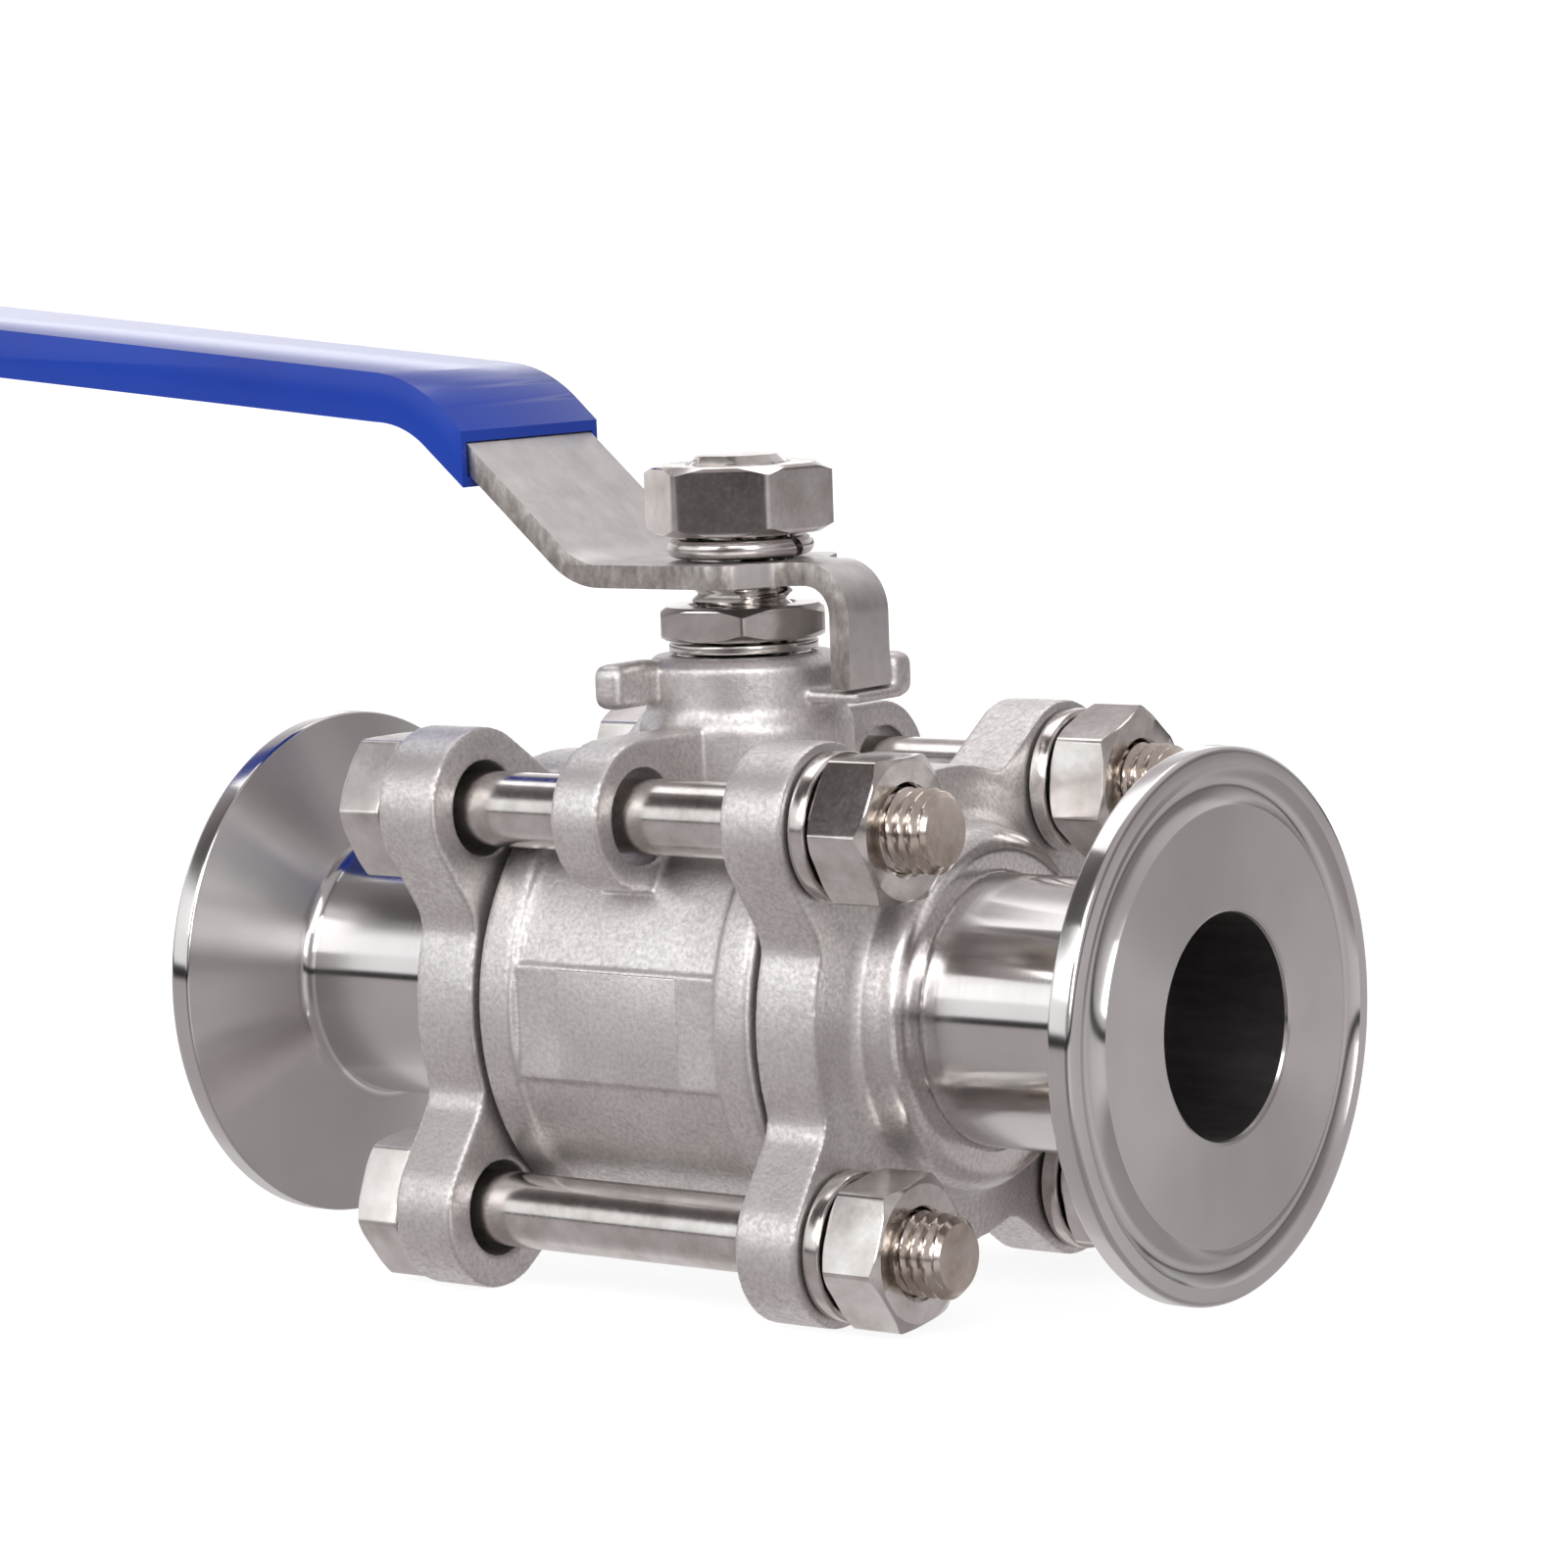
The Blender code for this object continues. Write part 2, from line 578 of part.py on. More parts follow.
def ferrule_profile():
    face = HALF_LENGTH
    band = HALF_LENGTH - RIM_FACE_DROP
    groove_start = GROOVE_RADIUS - GROOVE_HALF_WIDTH
    groove = []
    for step in range(GROOVE_STEPS + 1):
        share = step / GROOVE_STEPS
        radius = groove_start + 2 * GROOVE_HALF_WIDTH * share
        level = face + (band - face) * share
        groove.append((radius, level - GROOVE_DEPTH * sin(pi * share)))
    edge = [
        (RIM_RADIUS - RIM_EDGE + radius, band - RIM_EDGE + height)
        for radius, height in arc((0.0, 0.0), RIM_EDGE, 90.0, 0.0, FILLET_STEPS)
    ]
    taper_drop = (RIM_RADIUS - TUBE_RADIUS) * tan(radians(RIM_BACK_ANGLE))
    tube_foot = HUB_END - SOCKET_DEPTH + FIT
    back = softened(
        [(RIM_RADIUS, RIM_BACK), (TUBE_RADIUS, RIM_BACK - taper_drop), (TUBE_RADIUS, tube_foot)],
        {1: TUBE_FILLET}, FILLET_STEPS, closed=False)
    bore = [
        (FERRULE_BORE_RADIUS, tube_foot),
        (FERRULE_BORE_RADIUS, face - BORE_CHAMFER),
        (FERRULE_BORE_RADIUS + BORE_CHAMFER, face),
    ]
    return groove + edge + back + bore


# Ball, seats and seals

def make_ball():
    """Ball about the pipe's axis, with the slot for the stem on top."""
    edge = degrees(asin(PORT_RADIUS / BALL_RADIUS))
    sphere = arc((0.0, 0.0), BALL_RADIUS, 90.0 - edge, -90.0 + edge, BALL_STEPS)
    piece = turned("ball", sphere, FINE, ring=True)
    moved(piece, ALONG_RIGHT)
    width = TANG_HALF_THICKNESS + FIT
    slot = block("slot", (-width, -BALL_RADIUS, BALL_RADIUS - SLOT_DEPTH), (width, BALL_RADIUS, BALL_RADIUS))
    return cut(piece, slot)


def seat_profile():
    """Seat ring with a hollow face that follows the ball."""
    contact = BALL_RADIUS + FIT
    back = SEAT_BACK - FIT
    start = asin(SEAT_LAND_RADIUS / contact)
    end = asin(SEAT_BORE_RADIUS / contact)
    profile = [(SEAT_OUTER_RADIUS, back), (SEAT_OUTER_RADIUS, contact * cos(start))]
    for step in range(SEAT_STEPS + 1):
        angle = start + (end - start) * step / SEAT_STEPS
        profile.append((contact * sin(angle), contact * cos(angle)))
    profile.append((SEAT_BORE_RADIUS, back))
    return profile


def make_body_seal():
    """Joint ring between the body's counterbore and a cap's flange."""
    return tube("body_seal", SEAL_SEAT_RADIUS - FIT, SPIGOT_RADIUS + FIT,
                BODY_HALF_LENGTH - SEAL_SEAT_DEPTH + FIT, FLANGE_INNER - FIT, FINE)


# Body

def barrel_profile():
    """From the axis at one end over the end ring to the middle, and mirrored."""
    ring_foot = BODY_HALF_LENGTH - END_RING_WIDTH
    step = END_RING_PROUD
    half = [
        (0.0, BODY_HALF_LENGTH),
        (BARREL_RADIUS, BODY_HALF_LENGTH),
        (END_RING_RADIUS - step / 4, BODY_HALF_LENGTH - step / 4),
        (END_RING_RADIUS, BODY_HALF_LENGTH - step),
        (END_RING_RADIUS, ring_foot + step / 2),
        (END_RING_RADIUS - step / 4, ring_foot + step / 8),
        (BARREL_RADIUS, ring_foot - step / 4),
    ]
    return half + [(radius, -height) for radius, height in reversed(half)]


def make_ears():
    """Both ears of the body and the web that joins them through the neck."""
    right = arc((BOLT_OFFSET, BOLT_OFFSET), EAR_RADIUS, -90.0, 90.0, EAR_STEPS)
    left = [(-y, z) for y, z in reversed(right)]
    piece = plate("ears", right + left, EAR_THICKNESS)
    rounded(piece, EAR_EDGE, cuts=1)
    stand = Matrix.Rotation(pi / 2, 4, "Z") @ Matrix.Rotation(pi / 2, 4, "X")
    moved(piece, Matrix.Translation((EAR_SHIFT, 0.0, 0.0)) @ stand)
    return piece


def make_neck():
    root = CAVITY_RADIUS - SPARE
    profile = [
        (0.0, NECK_TOP),
        (NECK_RADIUS - NECK_EDGE, NECK_TOP),
        (NECK_RADIUS, NECK_TOP - NECK_EDGE),
        (NECK_RADIUS, NECK_FLARE_TOP),
        (NECK_RADIUS + NECK_SPREAD / 4, NECK_FLARE_TOP - NECK_FLARE / 3),
        (NECK_FOOT_RADIUS - NECK_SPREAD / 4, NECK_FLARE_FOOT + NECK_FLARE / 3),
        (NECK_FOOT_RADIUS, NECK_FLARE_FOOT),
        (NECK_FOOT_RADIUS, root),
        (0.0, root),
    ]
    return turned("neck", profile, MEDIUM)


def make_stop_lugs():
    """Upright lugs that the lever's tab meets when open (+Y side) and when closed (-X side)."""
    root = NECK_RADIUS - SPARE
    side = STOP_FACE + LUG_WIDTH
    open_stop = block("open_stop", (root, STOP_FACE, LUG_FOOT), (LUG_REACH, side, NECK_TOP))
    rounded(open_stop, LUG_EDGE, cuts=1)
    ledge = block("ledge", (root, -LEDGE_OVERHANG, LUG_FOOT),
                  (LUG_REACH, STOP_FACE + LUG_WIDTH / 2, LUG_FOOT + LEDGE_HEIGHT))
    rounded(ledge, LEDGE_HEIGHT / 3, cuts=1)
    add(open_stop, ledge)
    closed_stop = block("closed_stop", (-side, -LUG_REACH, LUG_FOOT), (-STOP_FACE, -root, NECK_TOP))
    rounded(closed_stop, LUG_EDGE, cuts=1)
    return open_stop, closed_stop


def make_body():
    piece = moved(turned("body", barrel_profile(), FINE), ALONG_RIGHT)
    pad_face = BARREL_RADIUS - PAD_SINK
    pad = block("pad", (-PAD_HALF_LENGTH, -pad_face, PAD_BOTTOM), (PAD_HALF_LENGTH, -CAVITY_RADIUS, PAD_TOP))
    add(piece, pad)
    crown = block("crown", (-PAD_HALF_LENGTH, -pad_face - SPARE, PAD_BOTTOM), (PAD_HALF_LENGTH, -pad_face, PAD_TOP))
    cut(piece, crown)
    add(piece, make_ears())
    add(piece, make_neck())
    for lug in make_stop_lugs():
        add(piece, lug)
    mouth = BODY_HALF_LENGTH - SEAL_SEAT_DEPTH
    beyond = BODY_HALF_LENGTH + SPARE
    cavity = [
        (0.0, beyond),
        (SEAL_SEAT_RADIUS, beyond),
        (SEAL_SEAT_RADIUS, mouth),
        (CAVITY_RADIUS, mouth),
        (CAVITY_RADIUS, -mouth),
        (SEAL_SEAT_RADIUS, -mouth),
        (SEAL_SEAT_RADIUS, -beyond),
        (0.0, -beyond),
    ]
    cut(piece, moved(turned("cavity", cavity, FINE), ALONG_RIGHT))
    stem_way = [
        (0.0, NECK_TOP + SPARE),
        (STUFFING_RADIUS, NECK_TOP + SPARE),
        (STUFFING_RADIUS, STUFFING_FOOT),
        (STEM_HOLE_RADIUS, STUFFING_FOOT),
        (STEM_HOLE_RADIUS, GUIDE_FOOT),
        (SHOULDER_RADIUS + FIT, GUIDE_FOOT),
        (SHOULDER_RADIUS + FIT, CAVITY_RADIUS / 2),
        (0.0, CAVITY_RADIUS / 2),
    ]
    cut(piece, turned("stem_way", stem_way, MEDIUM))
    holes = []
    for y in (-BOLT_OFFSET, BOLT_OFFSET):
        hole = rod("ear_hole", BOLT_HOLE_RADIUS, -EAR_THICKNESS, EAR_THICKNESS, SMALL)
        holes.append(moved(hole, Matrix.Translation((EAR_SHIFT, y, BOLT_OFFSET)) @ ALONG_RIGHT))
    cut(piece, joined("ear_holes", holes))
    return piece


# Fasteners

def hexagon(name, across_flats, foot, top, chamfered):
    """Hex prism about Z with a corner on +X and conical chamfers at the named ends."""
    corner = across_flats / 2 / cos(pi / 6)
    prism = plate(name, arc((0.0, 0.0), corner, 0.0, 300.0, 5), top - foot)
    moved(prism, Matrix.Translation((0.0, 0.0, (foot + top) / 2)))
    flat = across_flats / 2 * HEX_FACE_SHARE
    wide = corner + FIT
    drop = (wide - flat) * tan(radians(HEX_CHAMFER_ANGLE))
    profile = [(0.0, top + SPARE), (wide, top + SPARE)]
    if "top" in chamfered:
        profile = [(0.0, top), (flat, top), (wide, top - drop)]
    if "foot" in chamfered:
        profile += [(wide, foot + drop), (flat, foot), (0.0, foot)]
    else:
        profile += [(wide, foot - SPARE), (0.0, foot - SPARE)]
    return keep(prism, turned("chamfer", profile, MEDIUM))


def hex_nut(name, across_flats, foot, height, bore_radius):
    nut = hexagon(name, across_flats, foot, foot + height, ("top", "foot"))
    return cut(nut, rod("bore", bore_radius, foot - SPARE, foot + height + SPARE, SMALL))


def make_bolt():
    """Hex bolt along Z, bearing face of the head at zero, with the shank turned down."""
    bolt = hexagon("bolt", BOLT_HEX, -HEAD_HEIGHT, 0.0, ("foot",))
    shank_end = BOLT_LENGTH - THREAD_LENGTH
    profile = [
        (0.0, BOLT_LENGTH),
        (BOLT_RADIUS - THREAD_CHAMFER, BOLT_LENGTH),
        (BOLT_RADIUS, BOLT_LENGTH - THREAD_CHAMFER),
        (BOLT_RADIUS, shank_end),
        (SHANK_RADIUS, shank_end - SHANK_STEP),
        (SHANK_RADIUS, -HEAD_HEIGHT / 2),
        (0.0, -HEAD_HEIGHT / 2),
    ]
    return add(bolt, turned("shank", profile, SMALL))


def make_lock_washer():
    """Split washer about Z, pressed flat, standing on zero."""
    washer = tube("lock_washer", WASHER_RADIUS, BOLT_RADIUS + FIT, 0.0, WASHER_HEIGHT, MEDIUM)
    return cut(washer, split_cutter(WASHER_RADIUS, WASHER_HEIGHT))


def split_cutter(reach, height):
    """Thin slanted slab that opens a ring on its +X side."""
    half = WASHER_SPLIT / 2
    slab = block("split", (0.0, -half, -height), (reach + SPARE, half, height))
    lean = Matrix.Rotation(radians(SPLIT_LEAN), 4, "X")
    return moved(slab, Matrix.Translation((0.0, 0.0, height / 2)) @ lean)


# Stem, packing and lever

def make_stem():
    profile = [
        (0.0, STEM_TOP),
        (STEM_RADIUS - STEM_CHAMFER, STEM_TOP),
        (STEM_RADIUS, STEM_TOP - STEM_CHAMFER),
        (STEM_RADIUS, SHOULDER_TOP),
        (SHOULDER_RADIUS, SHOULDER_TOP),
        (SHOULDER_RADIUS, SHOULDER_FOOT),
        (0.0, SHOULDER_FOOT),
    ]
    stem = turned("stem", profile, MEDIUM)
    slabs = []
    for side in (-1, 1):
        near, far = sorted((side * STEM_HALF_FLATS, side * 2 * STEM_RADIUS))
        slabs.append(block("flat", (-2 * STEM_RADIUS, near, STEM_FLATS_FOOT),
                           (2 * STEM_RADIUS, far, STEM_TOP + STEM_CHAMFER)))
    cut(stem, joined("flats", slabs))
    tang_foot = BALL_RADIUS - SLOT_DEPTH + FIT
    tang = block("tang", (-TANG_HALF_THICKNESS, -TANG_HALF_WIDTH, tang_foot),
                 (TANG_HALF_THICKNESS, TANG_HALF_WIDTH, (SHOULDER_FOOT + SHOULDER_TOP) / 2))
    return add(stem, tang)


def lever_line(extra=0.0):
    """Middle line of the bent plate in (x, z), from the tab's foot to the end of the grip."""
    middle = LEVER_FOOT + LEVER_THICKNESS / 2
    tab = TAB_REACH - LEVER_THICKNESS / 2
    grip = -LEVER_RISE_START - (LEVER_RISE_TOP - middle) / tan(radians(LEVER_RISE_ANGLE))
    end = -LEVER_LENGTH - extra
    return [
        (tab, TAB_FOOT),
        (tab, middle),
        (-LEVER_RISE_START, middle),
        (grip, LEVER_RISE_TOP),
        (end, LEVER_RISE_TOP + (grip - end) * tan(radians(GRIP_ANGLE))),
    ]


def strip(name, line, radii, thickness, width):
    """Flat bar bent along a line in XZ, its width along Y; thickness is a function of X."""
    middle = [Vector(point) for point in softened(line, radii, BEND_STEPS, closed=False)]
    left, right = [], []
    for index, point in enumerate(middle):
        before = middle[max(index - 1, 0)]
        after = middle[min(index + 1, len(middle) - 1)]
        back = (point - before).normalized() if index else (after - point).normalized()
        ahead = (after - point).normalized() if index < len(middle) - 1 else back
        heading = (back + ahead).normalized()
        half = thickness(point.x) / 2 / heading.dot(ahead)
        across = Vector((-heading.y, heading.x)) * half
        left.append(tuple(point + across))
        right.append(tuple(point - across))
    bar = plate(name, left + right[::-1], width)
    return moved(bar, Matrix.Rotation(pi / 2, 4, "X"))


BENDS = {1: TAB_BEND_RADIUS, 2: RISE_BEND_RADIUS, 3: GRIP_BEND_RADIUS}


def lever_plan(growth=0.0):
    """Plan outline: round far end, long straight sides, and the narrow tab."""
    half = LEVER_WIDTH / 2 + growth
    end = -LEVER_LENGTH - growth
    beyond = TAB_REACH + SPARE
    corners = [
        (beyond, -TAB_HALF_WIDTH), (beyond, TAB_HALF_WIDTH),
        (TAB_SHOULDER + TAB_SHOULDER_ROUND, TAB_HALF_WIDTH), (TAB_SHOULDER, half),
        (end, half), (end, -half),
        (TAB_SHOULDER, -half), (TAB_SHOULDER + TAB_SHOULDER_ROUND, -TAB_HALF_WIDTH),
    ]
    radii = {2: TAB_SHOULDER_ROUND, 3: TAB_SHOULDER_ROUND, 4: LEVER_CORNER, 5: LEVER_CORNER,
             6: TAB_SHOULDER_ROUND, 7: TAB_SHOULDER_ROUND}
    return softened(corners, radii, BEND_STEPS)


def tall(name, outline):
    """Upright cutter through the whole height of the lever."""
    height = 2 * (LEVER_RISE_TOP + LEVER_LENGTH)
    return plate(name, outline, height)


def make_lever():
    bar = strip("lever", lever_line(), BENDS, lambda x: LEVER_THICKNESS, LEVER_WIDTH)
    keep(bar, tall("plan", lever_plan()))
    hole = rod("hole", STEM_HOLE_RADIUS, LEVER_FOOT - SPARE, LEVER_TOP + SPARE, MEDIUM)
    flats = STEM_HALF_FLATS + FIT
    keep(hole, block("double_d", (-LEVER_WIDTH, -flats, 0.0), (LEVER_WIDTH, flats, STEM_TOP)))
    return cut(bar, hole)


def make_sleeve():
    """Dipped grip: an outer skin round the plate, open towards the stem and closed at the end."""
    side = FIT + SLEEVE_SIDE_WALL

    def skin_thickness(x):
        share = min(max((-x - SLEEVE_START) / SLEEVE_TAPER, 0.0), 1.0)
        wall = SLEEVE_MOUTH_WALL + (SLEEVE_WALL - SLEEVE_MOUTH_WALL) * share
        return LEVER_THICKNESS + 2 * (FIT + wall)

    skin = strip("sleeve", lever_line(side), BENDS, skin_thickness, LEVER_WIDTH + 2 * side)
    keep(skin, tall("skin_plan", lever_plan(side)))
    rounded(skin, SLEEVE_EDGE, cuts=1)
    cut(skin, block("mouth", (-SLEEVE_START, -LEVER_WIDTH, 0.0), (LEVER_LENGTH, LEVER_WIDTH, LEVER_LENGTH)))
    pocket = strip("pocket", lever_line(FIT), BENDS, lambda x: LEVER_THICKNESS + 2 * FIT,
                   LEVER_WIDTH + 2 * FIT)
    keep(pocket, tall("pocket_plan", lever_plan(FIT)))
    return cut(skin, pocket)


def make_lock_ring():
    """Round-section split washer under the lever nut."""
    half = LOCK_RING_WIRE / 2
    last = 360.0 / (WIRE_STEPS + 1) - 270.0
    circle = arc((LOCK_RING_RADIUS - half, LOCK_RING_FOOT + half), half, 90.0, last, WIRE_STEPS)
    ring = turned("lock_ring", circle, MEDIUM, ring=True)
    slab = split_cutter(LOCK_RING_RADIUS, LOCK_RING_WIRE)
    return cut(ring, moved(slab, Matrix.Translation((0.0, 0.0, LOCK_RING_FOOT))))


# Assembly

def assemble_ends(frame):
    """Caps, ferrules, seats and body seals, once on each side."""
    shapes = {
        "cap": (make_cap(), CAST),
        "ferrule": (turned("ferrule", ferrule_profile(), FINE, ring=True), TURNED),
        "seat": (turned("seat", seat_profile(), FINE, ring=True), PTFE),
        "body_seal": (make_body_seal(), PTFE),
    }
    for kind, (shape, material) in shapes.items():
        right = finish(shape, "right_" + kind, material, frame, ALONG_RIGHT)
        copied(right, "left_" + kind, ALONG_LEFT)


def assemble_fasteners(frame):
    """A bolt, a lock washer and a nut at each corner; the heads are on the left."""
    kinds = {
        "bolt": (make_bolt(), -FLANGE_OUTER - FIT),
        "lock_washer": (make_lock_washer(), WASHER_FOOT),
        "nut": (hex_nut("nut", BOLT_HEX, 0.0, NUT_HEIGHT, BOLT_RADIUS + FIT), NUT_FOOT),
    }
    for kind, (shape, start) in kinds.items():
        first = None
        for corner, (y, z) in CORNERS.items():
            # A corner of the hexagon points to -Y before its turn.
            spin = Matrix.Rotation(pi / 2 + radians(HEX_TURNS[corner]), 4, "Z")
            place = Matrix.Translation((start, y, z)) @ ALONG_RIGHT @ spin
            name = kind + "_" + corner
            if first is None:
                first = finish(shape, name, BRIGHT, frame, place)
            else:
                copied(first, name, place)


def assemble_packing(frame):
    """Thrust washer, packing rings, gland ring and disc spring round the stem."""
    thrust_top = THRUST_FOOT + THRUST_HEIGHT
    thrust = tube("thrust_washer", SHOULDER_RADIUS, STEM_HOLE_RADIUS, THRUST_FOOT, thrust_top, MEDIUM)
    finish(thrust, "thrust_washer", PTFE, frame)
    ring = tube("packing_ring", STUFFING_RADIUS - FIT, STEM_HOLE_RADIUS, 0.0, PACKING_HEIGHT, MEDIUM)
    foot = STUFFING_FOOT + FIT
    first = finish(ring, "packing_ring_1", PTFE, frame, Matrix.Translation((0.0, 0.0, foot)))
    for index in range(1, PACKING_COUNT):
        height = foot + index * (PACKING_HEIGHT + FIT)
        copied(first, "packing_ring_" + str(index + 1), Matrix.Translation((0.0, 0.0, height)))
    gland = tube("gland_ring", STUFFING_RADIUS - FIT, STEM_HOLE_RADIUS, PACKING_TOP + FIT, NECK_TOP, MEDIUM)
    finish(gland, "gland_ring", TURNED, frame)


def assemble_lever(axis):
    """Everything that turns with the lever, about the stem's axis."""
    finish(make_stem(), "stem", BRIGHT, axis)
    spring_top = SPRING_FOOT + SPRING_HEIGHT
    spring = tube("disc_spring", SPRING_RADIUS, STEM_HOLE_RADIUS, SPRING_FOOT, spring_top, MEDIUM)
    finish(spring, "disc_spring", BRIGHT, axis)
    packing_nut = hex_nut("packing_nut", PACKING_NUT_HEX, PACKING_NUT_FOOT, PACKING_NUT_HEIGHT,
                          STEM_HOLE_RADIUS)
    finish(packing_nut, "packing_nut", BRIGHT, axis, Matrix.Rotation(radians(PACKING_NUT_TURN), 4, "Z"))
    finish(make_lever(), "lever", PLATE, axis)
    finish(make_sleeve(), "lever_sleeve", VINYL, axis)
    finish(make_lock_ring(), "lever_lock_washer", BRIGHT, axis)
    lever_nut = hex_nut("lever_nut", LEVER_NUT_HEX, LEVER_NUT_FOOT, LEVER_NUT_HEIGHT, STEM_HOLE_RADIUS)
    finish(lever_nut, "lever_nut", BRIGHT, axis, Matrix.Rotation(radians(LEVER_NUT_TURN), 4, "Z"))


def main():
    frame = axis_empty("valve")
    lever_axis = axis_empty("lever_axis")
    ball_axis = axis_empty("ball_axis")
    finish(make_body(), "body", CAST, frame)
    assemble_ends(frame)
    assemble_fasteners(frame)
    assemble_packing(frame)
    assemble_lever(lever_axis)
    finish(make_ball(), "ball", TURNED, ball_axis)


main()
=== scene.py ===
"""Looks of the three-piece ball valve: fine shapes, threads, materials, studio and camera."""
from math import asin, atan2, ceil, cos, degrees, pi, radians, sin, sqrt, tan

import bmesh
import bpy
from mathutils import Matrix, Vector


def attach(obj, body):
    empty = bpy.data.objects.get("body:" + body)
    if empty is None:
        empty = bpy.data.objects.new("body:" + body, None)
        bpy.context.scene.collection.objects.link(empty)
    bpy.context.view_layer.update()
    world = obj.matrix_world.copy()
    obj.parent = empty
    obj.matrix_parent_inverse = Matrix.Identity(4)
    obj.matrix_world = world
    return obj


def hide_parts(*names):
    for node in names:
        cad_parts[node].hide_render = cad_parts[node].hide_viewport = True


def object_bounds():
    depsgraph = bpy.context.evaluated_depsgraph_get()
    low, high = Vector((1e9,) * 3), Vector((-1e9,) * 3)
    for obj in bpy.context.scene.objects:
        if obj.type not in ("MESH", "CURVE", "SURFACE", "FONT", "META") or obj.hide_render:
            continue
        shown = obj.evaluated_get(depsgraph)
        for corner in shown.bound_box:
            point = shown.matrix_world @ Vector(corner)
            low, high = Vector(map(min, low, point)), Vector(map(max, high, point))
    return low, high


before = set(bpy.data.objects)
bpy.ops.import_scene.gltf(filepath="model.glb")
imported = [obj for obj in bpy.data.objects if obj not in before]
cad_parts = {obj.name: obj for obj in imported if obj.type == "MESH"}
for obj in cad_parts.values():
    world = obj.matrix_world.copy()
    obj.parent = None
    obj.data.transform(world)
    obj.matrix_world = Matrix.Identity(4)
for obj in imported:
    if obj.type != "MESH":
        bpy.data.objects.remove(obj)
cad_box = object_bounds()

MM = 0.001
FIT = 0.3 * MM
SPARE = 2.0 * MM

# Sizes that the solids were built from
PORT_RADIUS = 10.0 * MM
CAVITY_RADIUS = 17.0 * MM
BODY_HALF_LENGTH = 16.0 * MM
BARREL_RADIUS = 21.8 * MM
END_RING_RADIUS = 22.6 * MM
END_RING_WIDTH = 4.2 * MM
SEAL_SEAT_RADIUS = 18.8 * MM
SEAL_SEAT_DEPTH = 1.7 * MM
PAD_SINK = 0.2 * MM
PAD_TOP = 4.9 * MM
PAD_BOTTOM = -5.9 * MM
PAD_HALF_LENGTH = 11.8 * MM
EAR_RADIUS = 7.0 * MM
EAR_THICKNESS = 5.5 * MM
EAR_SHIFT = -0.5 * MM
EAR_EDGE = 0.8 * MM
NECK_TOP = 32.5 * MM
NECK_RADIUS = 9.4 * MM
NECK_FOOT_RADIUS = 10.2 * MM
NECK_FLARE_TOP = 27.9 * MM
NECK_FLARE_FOOT = 25.7 * MM
NECK_EDGE = 0.9 * MM
LUG_REACH = 15.0 * MM
LUG_WIDTH = 3.3 * MM
LUG_FOOT = 28.2 * MM
LUG_EDGE = 1.1 * MM
LEDGE_HEIGHT = 1.1 * MM
LEDGE_OVERHANG = 2.5 * MM
JOINT_GAP = 0.7 * MM
FLANGE_THICKNESS = 6.8 * MM
FLANGE_RADIUS = 22.5 * MM
FLANGE_EAR_RADIUS = 7.66 * MM
FLANGE_EDGE = 1.2 * MM
CREASE_ANGLE = 21.5
CREASE_ROUND = 3.5 * MM
BOLT_OFFSET = 19.09895 * MM
BOLT_HOLE_RADIUS = 4.5 * MM
SPOT_FACE_RADIUS = 7.6 * MM
HUB_END = 28.3 * MM
HUB_RADIUS = 17.0 * MM
HUB_ROUND = 2.4 * MM
HUB_FLARE = 1.3 * MM
SOCKET_DEPTH = 8.0 * MM
SPIGOT_RADIUS = 16.7 * MM
SPIGOT_LENGTH = 4.2 * MM
SEAT_POCKET_DEPTH = 3.4 * MM
SEAT_OUTER_RADIUS = 15.0 * MM
HALF_LENGTH = 53.0 * MM
RIM_RADIUS = 25.25 * MM
RIM_WIDTH = 2.6 * MM
RIM_EDGE = 0.6 * MM
RIM_FACE_DROP = 0.25 * MM
RIM_BACK_ANGLE = 20.0
GROOVE_RADIUS = 21.75 * MM
GROOVE_HALF_WIDTH = 1.75 * MM
GROOVE_DEPTH = 0.9 * MM
TUBE_RADIUS = 12.7 * MM
FERRULE_BORE_RADIUS = 10.3 * MM
BORE_CHAMFER = 0.4 * MM
TUBE_FILLET = 1.5 * MM
BOLT_LENGTH = 60.0 * MM
BOLT_RADIUS = 3.9 * MM
SHANK_RADIUS = 3.55 * MM
THREAD_LENGTH = 20.0 * MM
THREAD_CHAMFER = 0.8 * MM
BOLT_PITCH = 1.25 * MM
BOLT_HEX = 13.0 * MM
HEAD_HEIGHT = 5.3 * MM
NUT_HEIGHT = 6.3 * MM
WASHER_RADIUS = 6.9 * MM
WASHER_HEIGHT = 1.7 * MM
WASHER_SPLIT = 0.9 * MM
SPLIT_LEAN = 25.0
HEX_CHAMFER_ANGLE = 30.0
HEX_FACE_SHARE = 0.97
HEX_TURNS = {"near_upper": 0.0, "near_lower": 8.0, "far_upper": 22.0, "far_lower": -14.0}
STEM_RADIUS = 4.8 * MM
STEM_PITCH = 1.25 * MM
STEM_TOP = 51.3 * MM
STEM_CHAMFER = 0.9 * MM
STEM_HALF_FLATS = 3.75 * MM
STEM_FLATS_FOOT = 37.6 * MM
SHOULDER_RADIUS = 6.5 * MM
SHOULDER_FOOT = 17.3 * MM
SHOULDER_HEIGHT = 2.3 * MM
TANG_HALF_THICKNESS = 3.0 * MM
TANG_HALF_WIDTH = 6.0 * MM
BALL_RADIUS = 16.0 * MM
SLOT_DEPTH = 4.0 * MM
THRUST_HEIGHT = 1.0 * MM
SHAFT_GUIDE_LENGTH = 2.3 * MM
STUFFING_RADIUS = 6.7 * MM
SPRING_RADIUS = 7.1 * MM
SPRING_HEIGHT = 0.9 * MM
PACKING_NUT_HEX = 15.5 * MM
